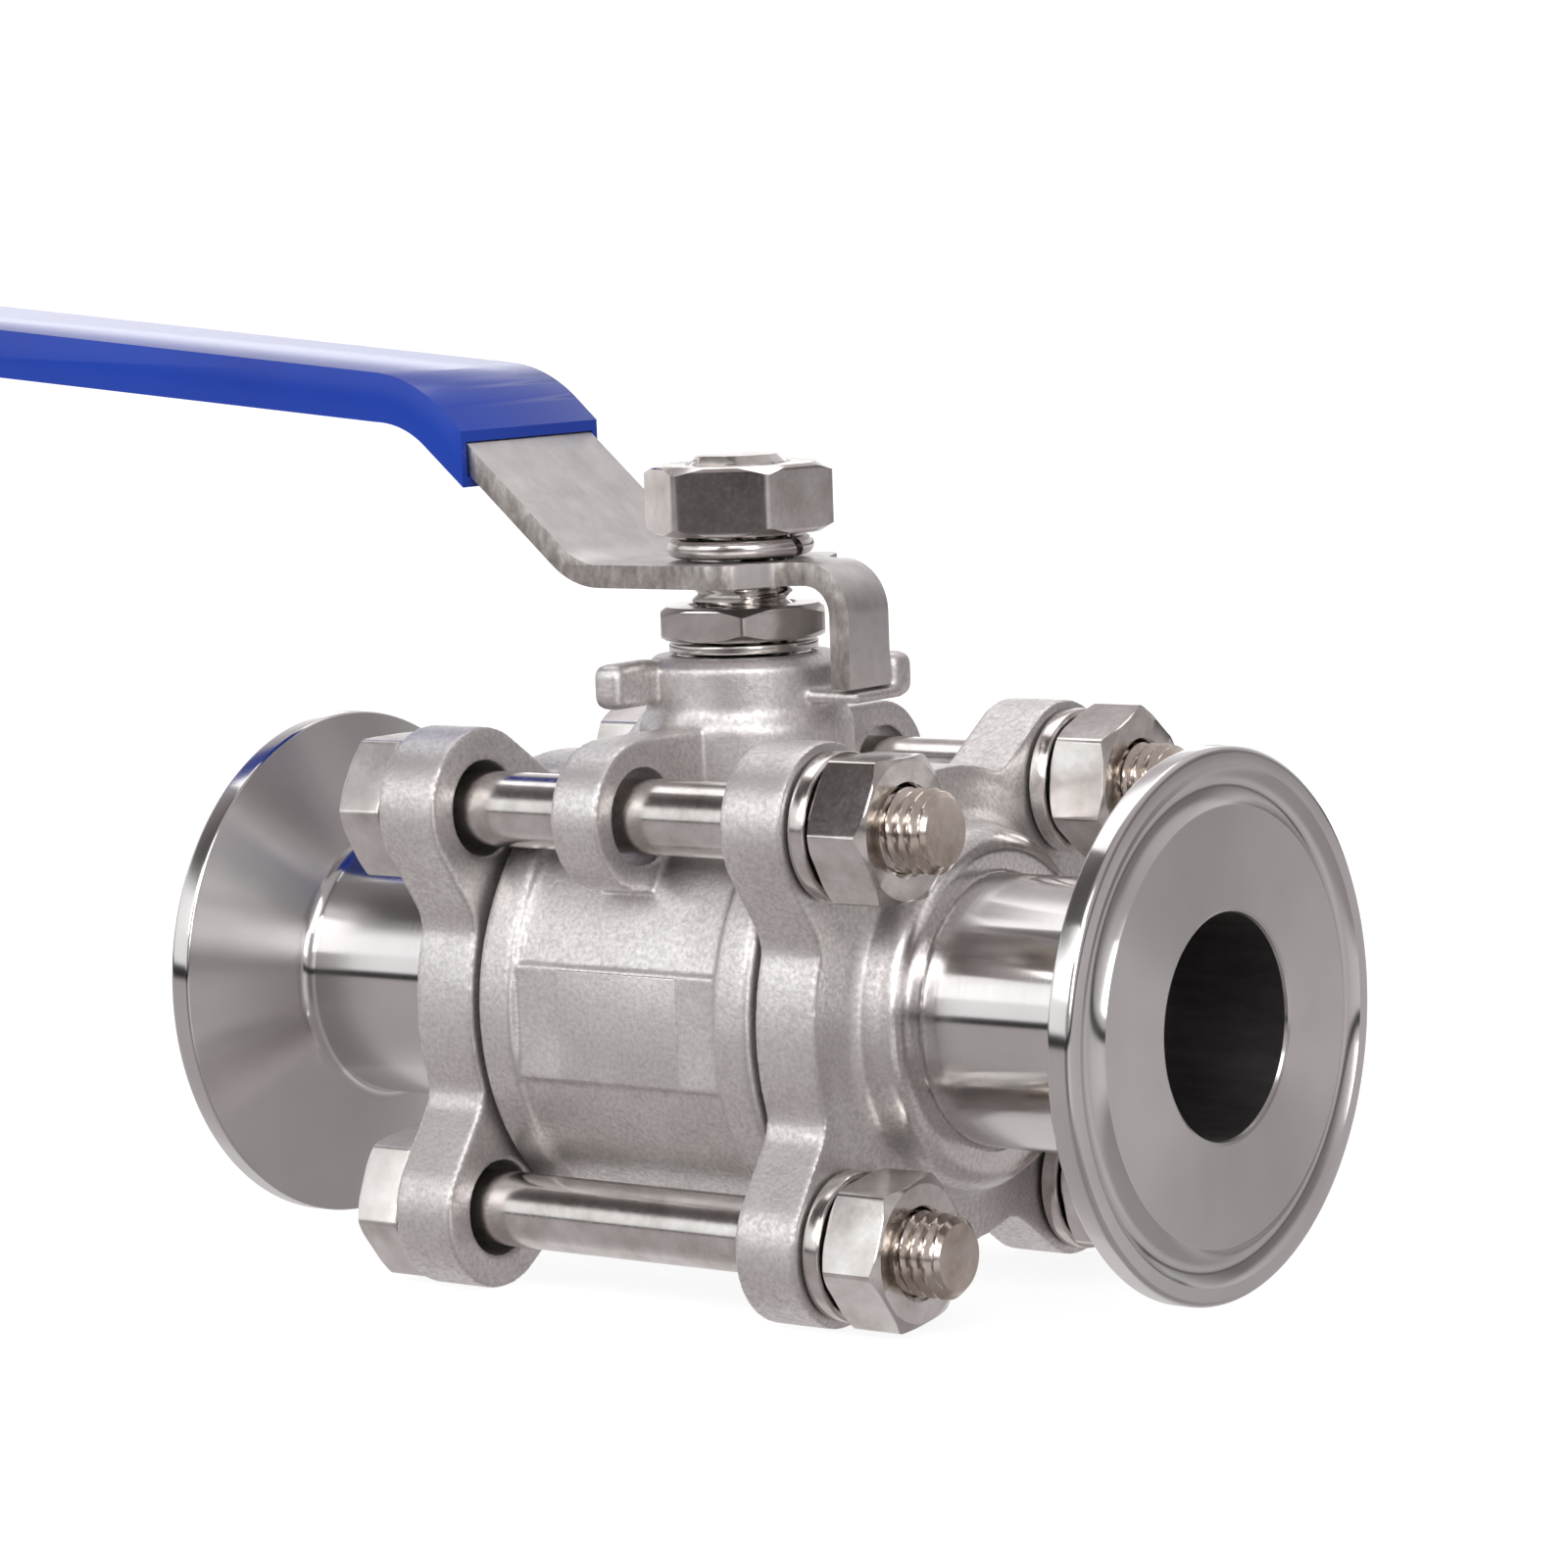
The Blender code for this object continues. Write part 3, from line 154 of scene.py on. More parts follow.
PACKING_NUT_HEIGHT = 3.2 * MM
PACKING_NUT_TURN = -53.0
LEVER_FOOT = 39.2 * MM
LEVER_THICKNESS = 2.2 * MM
LEVER_WIDTH = 19.0 * MM
LEVER_LENGTH = 125.0 * MM
LEVER_RISE_START = 12.5 * MM
LEVER_RISE_ANGLE = 41.0
LEVER_RISE_TOP = 57.0 * MM
GRIP_ANGLE = 5.3
RISE_BEND_RADIUS = 7.5 * MM
GRIP_BEND_RADIUS = 12.0 * MM
TAB_REACH = 14.7 * MM
TAB_HALF_WIDTH = 3.2 * MM
TAB_BEND_RADIUS = 3.8 * MM
TAB_SHOULDER = 4.7 * MM
TAB_SHOULDER_ROUND = 3.0 * MM
LEVER_CORNER = 8.5 * MM
SLEEVE_START = 25.2 * MM
SLEEVE_WALL = 1.08 * MM
SLEEVE_MOUTH_WALL = 0.5 * MM
SLEEVE_SIDE_WALL = 0.6 * MM
SLEEVE_TAPER = 12.0 * MM
SLEEVE_EDGE = 1.1 * MM
LOCK_RING_RADIUS = 7.0 * MM
LOCK_RING_WIRE = 1.9 * MM
LEVER_NUT_HEX = 16.0 * MM
LEVER_NUT_HEIGHT = 6.6 * MM
LEVER_NUT_TURN = -34.6

FLANGE_INNER = BODY_HALF_LENGTH + JOINT_GAP
FLANGE_OUTER = FLANGE_INNER + FLANGE_THICKNESS
SPIGOT_END = FLANGE_INNER - SPIGOT_LENGTH
SEAT_BACK = SPIGOT_END + SEAT_POCKET_DEPTH
RIM_BACK = HALF_LENGTH - RIM_WIDTH
SHOULDER_TOP = SHOULDER_FOOT + SHOULDER_HEIGHT
GUIDE_FOOT = SHOULDER_TOP + FIT + THRUST_HEIGHT + FIT
STUFFING_FOOT = GUIDE_FOOT + SHAFT_GUIDE_LENGTH
SPRING_FOOT = NECK_TOP + FIT
PACKING_NUT_FOOT = SPRING_FOOT + SPRING_HEIGHT + FIT
LEVER_TOP = LEVER_FOOT + LEVER_THICKNESS
LOCK_RING_FOOT = LEVER_TOP + FIT
LEVER_NUT_FOOT = LOCK_RING_FOOT + LOCK_RING_WIRE + FIT
TAB_FOOT = LUG_FOOT + LEDGE_HEIGHT + FIT
WASHER_FOOT = FLANGE_OUTER + FIT
NUT_FOOT = WASHER_FOOT + WASHER_HEIGHT + FIT
STOP_FACE = TAB_HALF_WIDTH + FIT
ALONG_RIGHT = Matrix.Rotation(pi / 2, 4, "Y")
ALONG_LEFT = Matrix.Rotation(-pi / 2, 4, "Y")
CORNERS = {
    "near_upper": (-BOLT_OFFSET, BOLT_OFFSET),
    "near_lower": (-BOLT_OFFSET, -BOLT_OFFSET),
    "far_upper": (BOLT_OFFSET, BOLT_OFFSET),
    "far_lower": (BOLT_OFFSET, -BOLT_OFFSET),
}

# Raised field on the pad, whose ends the photograph gives
PLAQUE_START = -6.8 * MM
PLAQUE_END = 7.1 * MM
PLAQUE_PROUD = 0.15 * MM
PLAQUE_EDGE = 0.25 * MM

# Fineness
ROUND = 144
SMALL = 64
HEX_CREASE = 18.0
HEX_EDGE = 0.35 * MM
LEVER_NUT_EDGE = 0.5 * MM
TURNED_CREASE = 12.0
VOXEL = 0.26 * MM
MOUTH_LAP = 0.15 * MM


# Materials

def node(tree, kind, **values):
    made = tree.nodes.new(kind)
    for key, value in values.items():
        if key in made.inputs:
            made.inputs[key].default_value = value
        else:
            setattr(made, key, value)
    return made


def link(tree, source, target):
    tree.links.new(source, target)


def shader_of(name):
    material = bpy.data.materials.new(name)
    material.use_nodes = True
    return material, material.node_tree, material.node_tree.nodes["Principled BSDF"]


def noise_at(tree, scale, detail=4.0, roughness=0.55, stretch=None):
    """3-D noise in object coordinates; scale is in features per metre."""
    place = node(tree, "ShaderNodeTexCoord")
    out = place.outputs["Object"]
    if stretch:
        mapping = node(tree, "ShaderNodeMapping")
        mapping.inputs["Scale"].default_value = stretch
        link(tree, out, mapping.inputs["Vector"])
        out = mapping.outputs["Vector"]
    texture = node(tree, "ShaderNodeTexNoise")
    texture.inputs["Scale"].default_value = scale
    texture.inputs["Detail"].default_value = detail
    texture.inputs["Roughness"].default_value = roughness
    link(tree, out, texture.inputs["Vector"])
    return texture.outputs["Fac"]


def ramp(tree, source, stops):
    made = node(tree, "ShaderNodeValToRGB")
    elements = made.color_ramp.elements
    while len(elements) < len(stops):
        elements.new(0.5)
    for element, (place, colour) in zip(elements, stops):
        element.position = place
        element.color = (*colour, 1.0) if len(colour) == 3 else colour
    link(tree, source, made.inputs["Fac"])
    return made.outputs["Color"]


def spread(tree, source, low, high, start=0.3, end=0.7):
    """Map a noise value to a range."""
    made = node(tree, "ShaderNodeMapRange")
    made.inputs["From Min"].default_value = start
    made.inputs["From Max"].default_value = end
    made.inputs["To Min"].default_value = low
    made.inputs["To Max"].default_value = high
    link(tree, source, made.inputs["Value"])
    return made.outputs["Result"]


def bump(tree, shader, layers):
    """Stack of (height, distance in metres, strength)."""
    normal = None
    for height, distance, strength in layers:
        made = node(tree, "ShaderNodeBump")
        made.inputs["Distance"].default_value = distance
        made.inputs["Strength"].default_value = strength
        link(tree, height, made.inputs["Height"])
        if normal is not None:
            link(tree, normal, made.inputs["Normal"])
        normal = made.outputs["Normal"]
    link(tree, normal, shader.inputs["Normal"])


def grey(value, warmth=0.02):
    return (value + warmth, value, value - 0.3 * warmth)


def cast_metal(name, faced_beyond=None):
    """Fine-blasted investment casting, machined smooth past a distance along X."""
    material, tree, shader = shader_of(name)
    shader.inputs["Metallic"].default_value = 1.0
    speckle = noise_at(tree, 2300.0, 3.0, 0.6)
    cloud = noise_at(tree, 130.0, 4.0, 0.6)
    colour = ramp(tree, speckle, [
        (0.32, grey(0.66, 0.018)), (0.5, grey(0.78, 0.020)), (0.66, grey(0.88, 0.020))])
    shade = ramp(tree, cloud, [(0.3, (0.86, 0.85, 0.84)), (0.7, (1.0, 1.0, 1.0))])
    mix = node(tree, "ShaderNodeMix", data_type="RGBA", blend_type="MULTIPLY")
    mix.inputs["Factor"].default_value = 1.0
    link(tree, colour, mix.inputs["A"])
    link(tree, shade, mix.inputs["B"])
    link(tree, mix.outputs["Result"], shader.inputs["Base Color"])
    rough = spread(tree, speckle, 0.54, 0.42)
    bump(tree, shader, [
        (noise_at(tree, 420.0, 3.0, 0.6), 0.12 * MM, 0.45),
        (speckle, 0.06 * MM, 0.55),
    ])
    if faced_beyond is not None:
        place = node(tree, "ShaderNodeTexCoord")
        split = node(tree, "ShaderNodeSeparateXYZ")
        link(tree, place.outputs["Object"], split.inputs["Vector"])
        reach = node(tree, "ShaderNodeMath", operation="ABSOLUTE")
        link(tree, split.outputs["X"], reach.inputs[0])
        soft = 0.25 * MM
        faced = spread(tree, reach.outputs["Value"], 0.0, 1.0, faced_beyond - soft, faced_beyond + soft)
        smoother = node(tree, "ShaderNodeMix")
        link(tree, faced, smoother.inputs["Factor"])
        link(tree, rough, smoother.inputs["A"])
        smoother.inputs["B"].default_value = 0.20
        rough = smoother.outputs["Result"]
        for layer in [made for made in tree.nodes if made.type == "BUMP"]:
            calmer = spread(tree, faced, layer.inputs["Strength"].default_value, 0.03, 0.0, 1.0)
            link(tree, calmer, layer.inputs["Strength"])
    link(tree, rough, shader.inputs["Roughness"])
    return material


def product(tree, first, second):
    made = node(tree, "ShaderNodeMath", operation="MULTIPLY")
    link(tree, first, made.inputs[0])
    link(tree, second, made.inputs[1])
    return made.outputs["Value"]


def turned_metal(name, axis, rough, satin=None, value=0.70, lines=2600.0):
    """Lathe-turned: fine rings round an axis, polished, and satin on a ferrule's flat face and back cone."""
    material, tree, shader = shader_of(name)
    shader.inputs["Metallic"].default_value = 1.0
    shader.inputs["Anisotropic"].default_value = 0.95
    shader.inputs["Anisotropic Rotation"].default_value = 0.25
    place = node(tree, "ShaderNodeTexCoord")
    split = node(tree, "ShaderNodeSeparateXYZ")
    link(tree, place.outputs["Object"], split.inputs["Vector"])
    first, second = {"X": ("Y", "Z"), "Z": ("X", "Y")}[axis]
    distance = node(tree, "ShaderNodeCombineXYZ")
    link(tree, split.outputs[first], distance.inputs["X"])
    link(tree, split.outputs[second], distance.inputs["Y"])
    length = node(tree, "ShaderNodeVectorMath", operation="LENGTH")
    link(tree, distance.outputs["Vector"], length.inputs[0])
    rings = node(tree, "ShaderNodeCombineXYZ")
    link(tree, length.outputs["Value"], rings.inputs["X"])
    link(tree, split.outputs[axis], rings.inputs["Y"])
    texture = node(tree, "ShaderNodeTexNoise")
    texture.inputs["Scale"].default_value = lines
    texture.inputs["Detail"].default_value = 3.0
    link(tree, rings.outputs["Vector"], texture.inputs["Vector"])
    fine = texture.outputs["Fac"]
    cloud = noise_at(tree, 90.0, 3.0, 0.5)
    colour = ramp(tree, cloud, [(0.3, grey(value - 0.05, 0.012)), (0.7, grey(value + 0.03, 0.014))])
    link(tree, colour, shader.inputs["Base Color"])
    roughness = spread(tree, fine, rough * 0.9, rough * 1.15)
    if satin is not None:
        reach = node(tree, "ShaderNodeMath", operation="ABSOLUTE")
        link(tree, split.outputs[axis], reach.inputs[0])
        along, out = reach.outputs["Value"], length.outputs["Value"]
        soft = 0.15 * MM
        inside = GROOVE_RADIUS - GROOVE_HALF_WIDTH
        front = product(tree, spread(tree, along, 0.0, 1.0, RIM_BACK, RIM_BACK + soft),
                        spread(tree, out, 1.0, 0.0, inside - soft, inside))
        outside = TUBE_RADIUS + TUBE_FILLET
        cone = product(tree, spread(tree, along, 1.0, 0.0, RIM_BACK - soft, RIM_BACK),
                       spread(tree, out, 0.0, 1.0, outside - TUBE_FILLET / 2, outside))
        zone = node(tree, "ShaderNodeMath", operation="ADD")
        link(tree, front, zone.inputs[0])
        link(tree, cone, zone.inputs[1])
        mix = node(tree, "ShaderNodeMix")
        link(tree, zone.outputs["Value"], mix.inputs["Factor"])
        link(tree, roughness, mix.inputs["A"])
        mix.inputs["B"].default_value = satin
        roughness = mix.outputs["Result"]
    link(tree, roughness, shader.inputs["Roughness"])
    tangent = node(tree, "ShaderNodeTangent", direction_type="RADIAL", axis=axis)
    link(tree, tangent.outputs["Tangent"], shader.inputs["Tangent"])
    bump(tree, shader, [(fine, 0.001 * MM, 0.2)])
    return material


def bright_metal(name, dark, middle, light, rough=0.14):
    """Drawn and machined fasteners with handling marks."""
    material, tree, shader = shader_of(name)
    shader.inputs["Metallic"].default_value = 1.0
    cloud = noise_at(tree, 260.0, 5.0, 0.6)
    fine = noise_at(tree, 2400.0, 4.0, 0.6)
    colour = ramp(tree, cloud, [(0.28, dark), (0.5, middle), (0.72, light)])
    link(tree, colour, shader.inputs["Base Color"])
    link(tree, spread(tree, fine, rough, rough + 0.08), shader.inputs["Roughness"])
    bump(tree, shader, [(cloud, 0.01 * MM, 0.12), (fine, 0.003 * MM, 0.2)])
    return material


def plate_metal():
    """Rolled sheet of the lever."""
    material, tree, shader = shader_of("rolled_steel")
    shader.inputs["Metallic"].default_value = 1.0
    cloud = noise_at(tree, 350.0, 5.0, 0.65)
    grain = noise_at(tree, 1500.0, 3.0, 0.6, stretch=(0.25, 1.0, 0.25))
    colour = ramp(tree, cloud, [(0.3, grey(0.60, 0.02)), (0.7, grey(0.74, 0.02))])
    link(tree, colour, shader.inputs["Base Color"])
    link(tree, spread(tree, grain, 0.34, 0.48), shader.inputs["Roughness"])
    bump(tree, shader, [(cloud, 0.02 * MM, 0.3), (grain, 0.01 * MM, 0.35)])
    return material


def sheared_metal():
    """Rough sheared edge of the sheet."""
    material, tree, shader = shader_of("sheared_steel")
    shader.inputs["Metallic"].default_value = 1.0
    rough = noise_at(tree, 900.0, 5.0, 0.7, stretch=(1.0, 1.0, 0.5))
    colour = ramp(tree, rough, [
        (0.35, (0.34, 0.31, 0.29)), (0.5, (0.48, 0.45, 0.43)), (0.64, (0.66, 0.63, 0.61))])
    link(tree, colour, shader.inputs["Base Color"])
    shader.inputs["Roughness"].default_value = 0.42
    bump(tree, shader, [(rough, 0.12 * MM, 0.5)])
    return material


def vinyl():
    """Dipped grip: glossy, faintly wavy."""
    material, tree, shader = shader_of("blue_dip")
    shader.inputs["Roughness"].default_value = 0.22
    shader.inputs["Specular IOR Level"].default_value = 0.45
    cloud = noise_at(tree, 60.0, 3.0, 0.5)
    fine = noise_at(tree, 1700.0, 2.0, 0.5)
    colour = ramp(tree, cloud, [(0.3, (0.002, 0.026, 0.245)), (0.7, (0.002, 0.032, 0.285))])
    link(tree, colour, shader.inputs["Base Color"])
    bump(tree, shader, [(noise_at(tree, 120.0, 2.0, 0.4), 0.08 * MM, 0.25), (fine, 0.008 * MM, 0.25)])
    return material


def ptfe():
    material, tree, shader = shader_of("white_ring")
    shader.inputs["Roughness"].default_value = 0.5
    cloud = noise_at(tree, 500.0, 3.0, 0.5)
    colour = ramp(tree, cloud, [(0.3, (0.80, 0.80, 0.77)), (0.7, (0.88, 0.88, 0.86))])
    link(tree, colour, shader.inputs["Base Color"])
    bump(tree, shader, [(cloud, 0.02 * MM, 0.3)])
    return material


def drawn_metal_painted_shade():
    """Unpolished inside of a tube, its grey darkened below the steel's own as painted shade of the deep bore.
    """
    material, tree, shader = shader_of("bore_steel_painted_shade")
    shader.inputs["Metallic"].default_value = 1.0
    shader.inputs["Roughness"].default_value = 0.38
    streak = noise_at(tree, 700.0, 4.0, 0.6, stretch=(0.15, 1.0, 1.0))
    # the darker grey here is painted shade of the bore; the streaks are the drawn finish
    colour = ramp(tree, streak, [(0.3, grey(0.34, 0.012)), (0.7, grey(0.50, 0.012))])
    link(tree, colour, shader.inputs["Base Color"])
    bump(tree, shader, [(streak, 0.02 * MM, 0.4)])
    return material


CAST = cast_metal("cast_steel")
CAP_CAST = cast_metal("faced_cast_steel", HUB_END - HUB_ROUND * 0.4)
TURNED_X = turned_metal("turned_steel", "X", 0.15, 0.25)
BORE = drawn_metal_painted_shade()
TURNED_Z = turned_metal("turned_ring_steel", "Z", 0.15)
BRIGHT = bright_metal("bright_steel", (0.52, 0.49, 0.46), (0.68, 0.65, 0.63), (0.80, 0.78, 0.77))
# the brown in the thread steel is painted reflection of the warm room; its cloud of handling marks is real
THREAD = bright_metal("thread_steel_painted_reflection", (0.42, 0.36, 0.30), (0.61, 0.54, 0.48), (0.72, 0.67, 0.62))
FORGED = bright_metal("forged_steel", (0.56, 0.53, 0.51), (0.72, 0.69, 0.67), (0.84, 0.82, 0.81), 0.36)
PLATE = plate_metal()
SHEARED = sheared_metal()
VINYL = vinyl()
PTFE = ptfe()


# Shape tools

def link_mesh(name, mesh):
    piece = bpy.data.objects.new(name, mesh)
    bpy.context.scene.collection.objects.link(piece)
    return piece


def evaluated_mesh(piece):
    graph = bpy.context.evaluated_depsgraph_get()
    mesh = bpy.data.meshes.new_from_object(piece.evaluated_get(graph))
    shape = bmesh.new()
    shape.from_mesh(mesh)
    bmesh.ops.remove_doubles(shape, verts=shape.verts, dist=0.001 * MM)
    bmesh.ops.recalc_face_normals(shape, faces=shape.faces)
    shape.to_mesh(mesh)
    shape.free()
    return mesh


def bake(piece):
    old = piece.data
    piece.data = evaluated_mesh(piece)
    piece.modifiers.clear()
    if old.users == 0:
        bpy.data.meshes.remove(old)


def turned(name, profile, steps, ring=False):
    edges = [(i, i + 1) for i in range(len(profile) - 1)]
    if ring:
        edges.append((len(profile) - 1, 0))
    line = bpy.data.meshes.new(name)
    line.from_pydata([(radius, 0.0, height) for radius, height in profile], edges, [])
    piece = link_mesh(name, line)
    screw = piece.modifiers.new("Turn", "SCREW")
    screw.steps = steps
    screw.render_steps = steps
    screw.use_merge_vertices = True
    screw.merge_threshold = 0.001 * MM
    bake(piece)
    return piece


def tube(name, outer, inner, foot, top, steps):
    return turned(name, [(outer, top), (outer, foot), (inner, foot), (inner, top)], steps, ring=True)


def rod(name, radius, foot, top, steps):
    return turned(name, [(0.0, top), (radius, top), (radius, foot), (0.0, foot)], steps)


def plate(name, outline, thickness):
    curve = bpy.data.curves.new(name, "CURVE")
    curve.dimensions = "2D"
    curve.fill_mode = "BOTH"
    curve.extrude = thickness / 2
    spline = curve.splines.new("POLY")
    spline.points.add(len(outline) - 1)
    for point, (x, y) in zip(spline.points, outline):
        point.co = (x, y, 0.0, 1.0)
    spline.use_cyclic_u = True
    guide = bpy.data.objects.new(name + "_outline", curve)
    bpy.context.scene.collection.objects.link(guide)
    piece = link_mesh(name, evaluated_mesh(guide))
    bpy.data.objects.remove(guide, do_unlink=True)
    return piece


def block(name, low, high):
    shape = bmesh.new()
    bmesh.ops.create_cube(shape, size=1.0)
    bmesh.ops.scale(shape, vec=Vector(high) - Vector(low), verts=shape.verts)
    bmesh.ops.translate(shape, vec=(Vector(high) + Vector(low)) / 2, verts=shape.verts)
    mesh = bpy.data.meshes.new(name)
    shape.to_mesh(mesh)
    shape.free()
    return link_mesh(name, mesh)


def rounded(piece, width, cuts, angle=50.0):
    bevel = piece.modifiers.new("Round", "BEVEL")
    bevel.width = width
    bevel.segments = cuts
    bevel.limit_method = "ANGLE"
    bevel.angle_limit = radians(angle)
    bake(piece)
    return piece


def combine(piece, tool, operation):
    modifier = piece.modifiers.new(operation.title(), "BOOLEAN")
    modifier.operation = operation
    modifier.solver = "EXACT"
    modifier.object = tool
    bake(piece)
    bpy.data.objects.remove(tool, do_unlink=True)
    return piece


def add(piece, tool):
    return combine(piece, tool, "UNION")


def cut(piece, tool):
    return combine(piece, tool, "DIFFERENCE")


def keep(piece, tool):
    return combine(piece, tool, "INTERSECT")


def moved(piece, matrix):
    piece.data.transform(matrix)
    return piece


def joined(name, pieces):
    shape = bmesh.new()
    for piece in pieces:
        shape.from_mesh(piece.data)
        bpy.data.objects.remove(piece, do_unlink=True)
    mesh = bpy.data.meshes.new(name)
    shape.to_mesh(mesh)
    shape.free()
    return link_mesh(name, mesh)


def arc(centre, radius, start, end, steps):
    points = []
    for step in range(steps + 1):
        angle = radians(start + (end - start) * step / steps)
        points.append((centre[0] + radius * cos(angle), centre[1] + radius * sin(angle)))
    return points


def softened(outline, radii, steps=8, closed=True):
    points = []
    count = len(outline)
    for index, corner in enumerate(outline):
        radius = radii.get(index, 0.0)
        if radius == 0.0 or (not closed and index in (0, count - 1)):
            points.append(tuple(corner))
            continue
        here = Vector(corner)
        back = (Vector(outline[index - 1]) - here).normalized()
        ahead = (Vector(outline[(index + 1) % count]) - here).normalized()
        opening = back.angle(ahead)
        trim = radius / tan(opening / 2)
        centre = here + (back + ahead).normalized() * radius / sin(opening / 2)
        first = here + back * trim - centre
        last = here + ahead * trim - centre
        start = atan2(first.y, first.x)
        turn = atan2(first.x * last.y - first.y * last.x, first.dot(last))
        for step in range(steps + 1):
            angle = start + turn * step / steps
            points.append((centre.x + radius * cos(angle), centre.y + radius * sin(angle)))
    return points


def moulded(piece, voxel=VOXEL, passes=6):
    """One skin with small fillets, as a casting has."""
    remesh = piece.modifiers.new("Skin", "REMESH")
    remesh.mode = "VOXEL"
    remesh.voxel_size = voxel
    remesh.use_smooth_shade = True
    smooth = piece.modifiers.new("Ease", "SMOOTH")
    smooth.factor = 0.5
    smooth.iterations = passes
    bake(piece)
    return piece


def threaded(name, radius, depth, pitch, foot, top, chamfer, thread_foot, plain_radius, steps=72):
    """Rod with a helical ridge above thread_foot, drawn as one closed skin."""
    rows = int(ceil((top - foot) / (pitch / 10)))
    shape = bmesh.new()
    rings = []
    for row in range(rows + 1):
        height = foot + (top - foot) * row / rows
        ring = []
        for step in range(steps):
            angle = 2 * pi * step / steps
            phase = (height / pitch - step / steps) % 1.0
            ridge = min(1.0, max(0.0, 2.6 * (0.5 - abs(phase - 0.5)) - 0.15))
            here = radius - depth * (1.0 - ridge)
            blend = min(1.0, max(0.0, (height - thread_foot) / pitch))
            here = plain_radius + (here - plain_radius) * blend
            here = min(here, radius - chamfer + (top - height))
            ring.append(shape.verts.new((here * cos(angle), here * sin(angle), height)))
        rings.append(ring)
    for low, high in zip(rings, rings[1:]):
        for step in range(steps):
            after = (step + 1) % steps
            shape.faces.new((low[step], low[after], high[after], high[step]))
    shape.faces.new(rings[-1])
    shape.faces.new(list(reversed(rings[0])))
    mesh = bpy.data.meshes.new(name)
    shape.to_mesh(mesh)
    shape.free()
    return link_mesh(name, mesh)


def dress(piece, name, materials, body, nodes, matrix=None, crease=35.0):
    """Name, place and finish a piece, ride it on its body and let it stand for CAD nodes."""
    piece.name = name
    piece.data.name = name
    if not piece.data.materials:
        for material in materials:
            piece.data.materials.append(material)
    piece.data.shade_smooth()
    piece.data.set_sharp_from_angle(angle=radians(crease))
    if matrix is not None:
        piece.data.transform(matrix)
    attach(piece, body)
    if nodes:
        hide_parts(*nodes)
    return piece


def twin(piece, name):
    other = piece.copy()
    other.data = piece.data.copy()
    bpy.context.scene.collection.objects.link(other)
    other.name = name
    return other


# Caps

def flange_outline():
    crease = radians(CREASE_ANGLE)
    foot = Vector((FLANGE_RADIUS * cos(crease), FLANGE_RADIUS * sin(crease)))
    ear = Vector((BOLT_OFFSET, BOLT_OFFSET))
    to_ear = ear - foot
    lean = atan2(to_ear.y, to_ear.x) - asin(FLANGE_EAR_RADIUS / to_ear.length)
    reach = sqrt(to_ear.length ** 2 - FLANGE_EAR_RADIUS ** 2)
    touch = foot + Vector((cos(lean), sin(lean))) * reach - ear
    start = degrees(atan2(touch.y, touch.x))
    first_half = [tuple(foot)] + arc(ear, FLANGE_EAR_RADIUS, start, 90.0 - start, 32)
    clear = CREASE_ANGLE - 7.0
    disc = arc((0.0, 0.0), FLANGE_RADIUS, 90.0 - CREASE_ANGLE, 90.0 + CREASE_ANGLE, 1)[:1]
    disc += arc((0.0, 0.0), FLANGE_RADIUS, 90.0 - clear, 90.0 + clear, 10)
    quarter = first_half + disc
    outline = []
    creases = {}
    for turn in range(4):
        creases[len(outline)] = CREASE_ROUND
        creases[len(outline) + len(first_half)] = CREASE_ROUND
        spin = Matrix.Rotation(turn * pi / 2, 2)
        outline += [tuple(spin @ Vector(point)) for point in quarter]
    return softened(outline, creases, steps=8)


def make_cap():
    piece = plate("cap", flange_outline(), FLANGE_THICKNESS)
    moved(piece, Matrix.Translation((0.0, 0.0, (FLANGE_INNER + FLANGE_OUTER) / 2)))
    rounded(piece, FLANGE_EDGE, 4)
    flare_foot = FLANGE_RADIUS - FLANGE_EDGE
    hub = [(0.0, HUB_END)] + [
        (HUB_RADIUS - HUB_ROUND + radius, HUB_END - HUB_ROUND + height)
        for radius, height in arc((0.0, 0.0), HUB_ROUND, 90.0, 0.0, 10)
    ] + [
        (HUB_RADIUS + HUB_FLARE / 5, FLANGE_OUTER + HUB_FLARE),
        (HUB_RADIUS + HUB_FLARE, FLANGE_OUTER + HUB_FLARE / 2),
        (flare_foot, FLANGE_OUTER),
        (flare_foot, FLANGE_INNER + FLANGE_EDGE),
        (0.0, FLANGE_INNER + FLANGE_EDGE),
    ]
    add(piece, turned("hub", hub, ROUND))
    add(piece, rod("spigot", SPIGOT_RADIUS, SPIGOT_END, FLANGE_INNER + FLANGE_EDGE, ROUND))
    socket_foot = HUB_END - SOCKET_DEPTH
    passage = [
        (0.0, HUB_END + SPARE),
        (TUBE_RADIUS - MOUTH_LAP, HUB_END + SPARE),
        (TUBE_RADIUS - MOUTH_LAP, socket_foot),
        (PORT_RADIUS, socket_foot),
        (PORT_RADIUS, SEAT_BACK),
        (SEAT_OUTER_RADIUS + FIT, SEAT_BACK),
        (SEAT_OUTER_RADIUS + FIT, SPIGOT_END - SPARE),
        (0.0, SPIGOT_END - SPARE),
    ]
    cut(piece, turned("passage", passage, ROUND))
    hole = [
        (0.0, HUB_END + SPARE),
        (SPOT_FACE_RADIUS, HUB_END + SPARE),
        (SPOT_FACE_RADIUS, FLANGE_OUTER),
        (BOLT_HOLE_RADIUS, FLANGE_OUTER),
        (BOLT_HOLE_RADIUS, FLANGE_INNER - SPARE),
        (0.0, FLANGE_INNER - SPARE),
    ]
    holes = [moved(turned("hole", hole, SMALL), Matrix.Translation((z, y, 0.0))) for y, z in CORNERS.values()]
    cut(piece, joined("holes", holes))
    return moulded(piece)


# Body

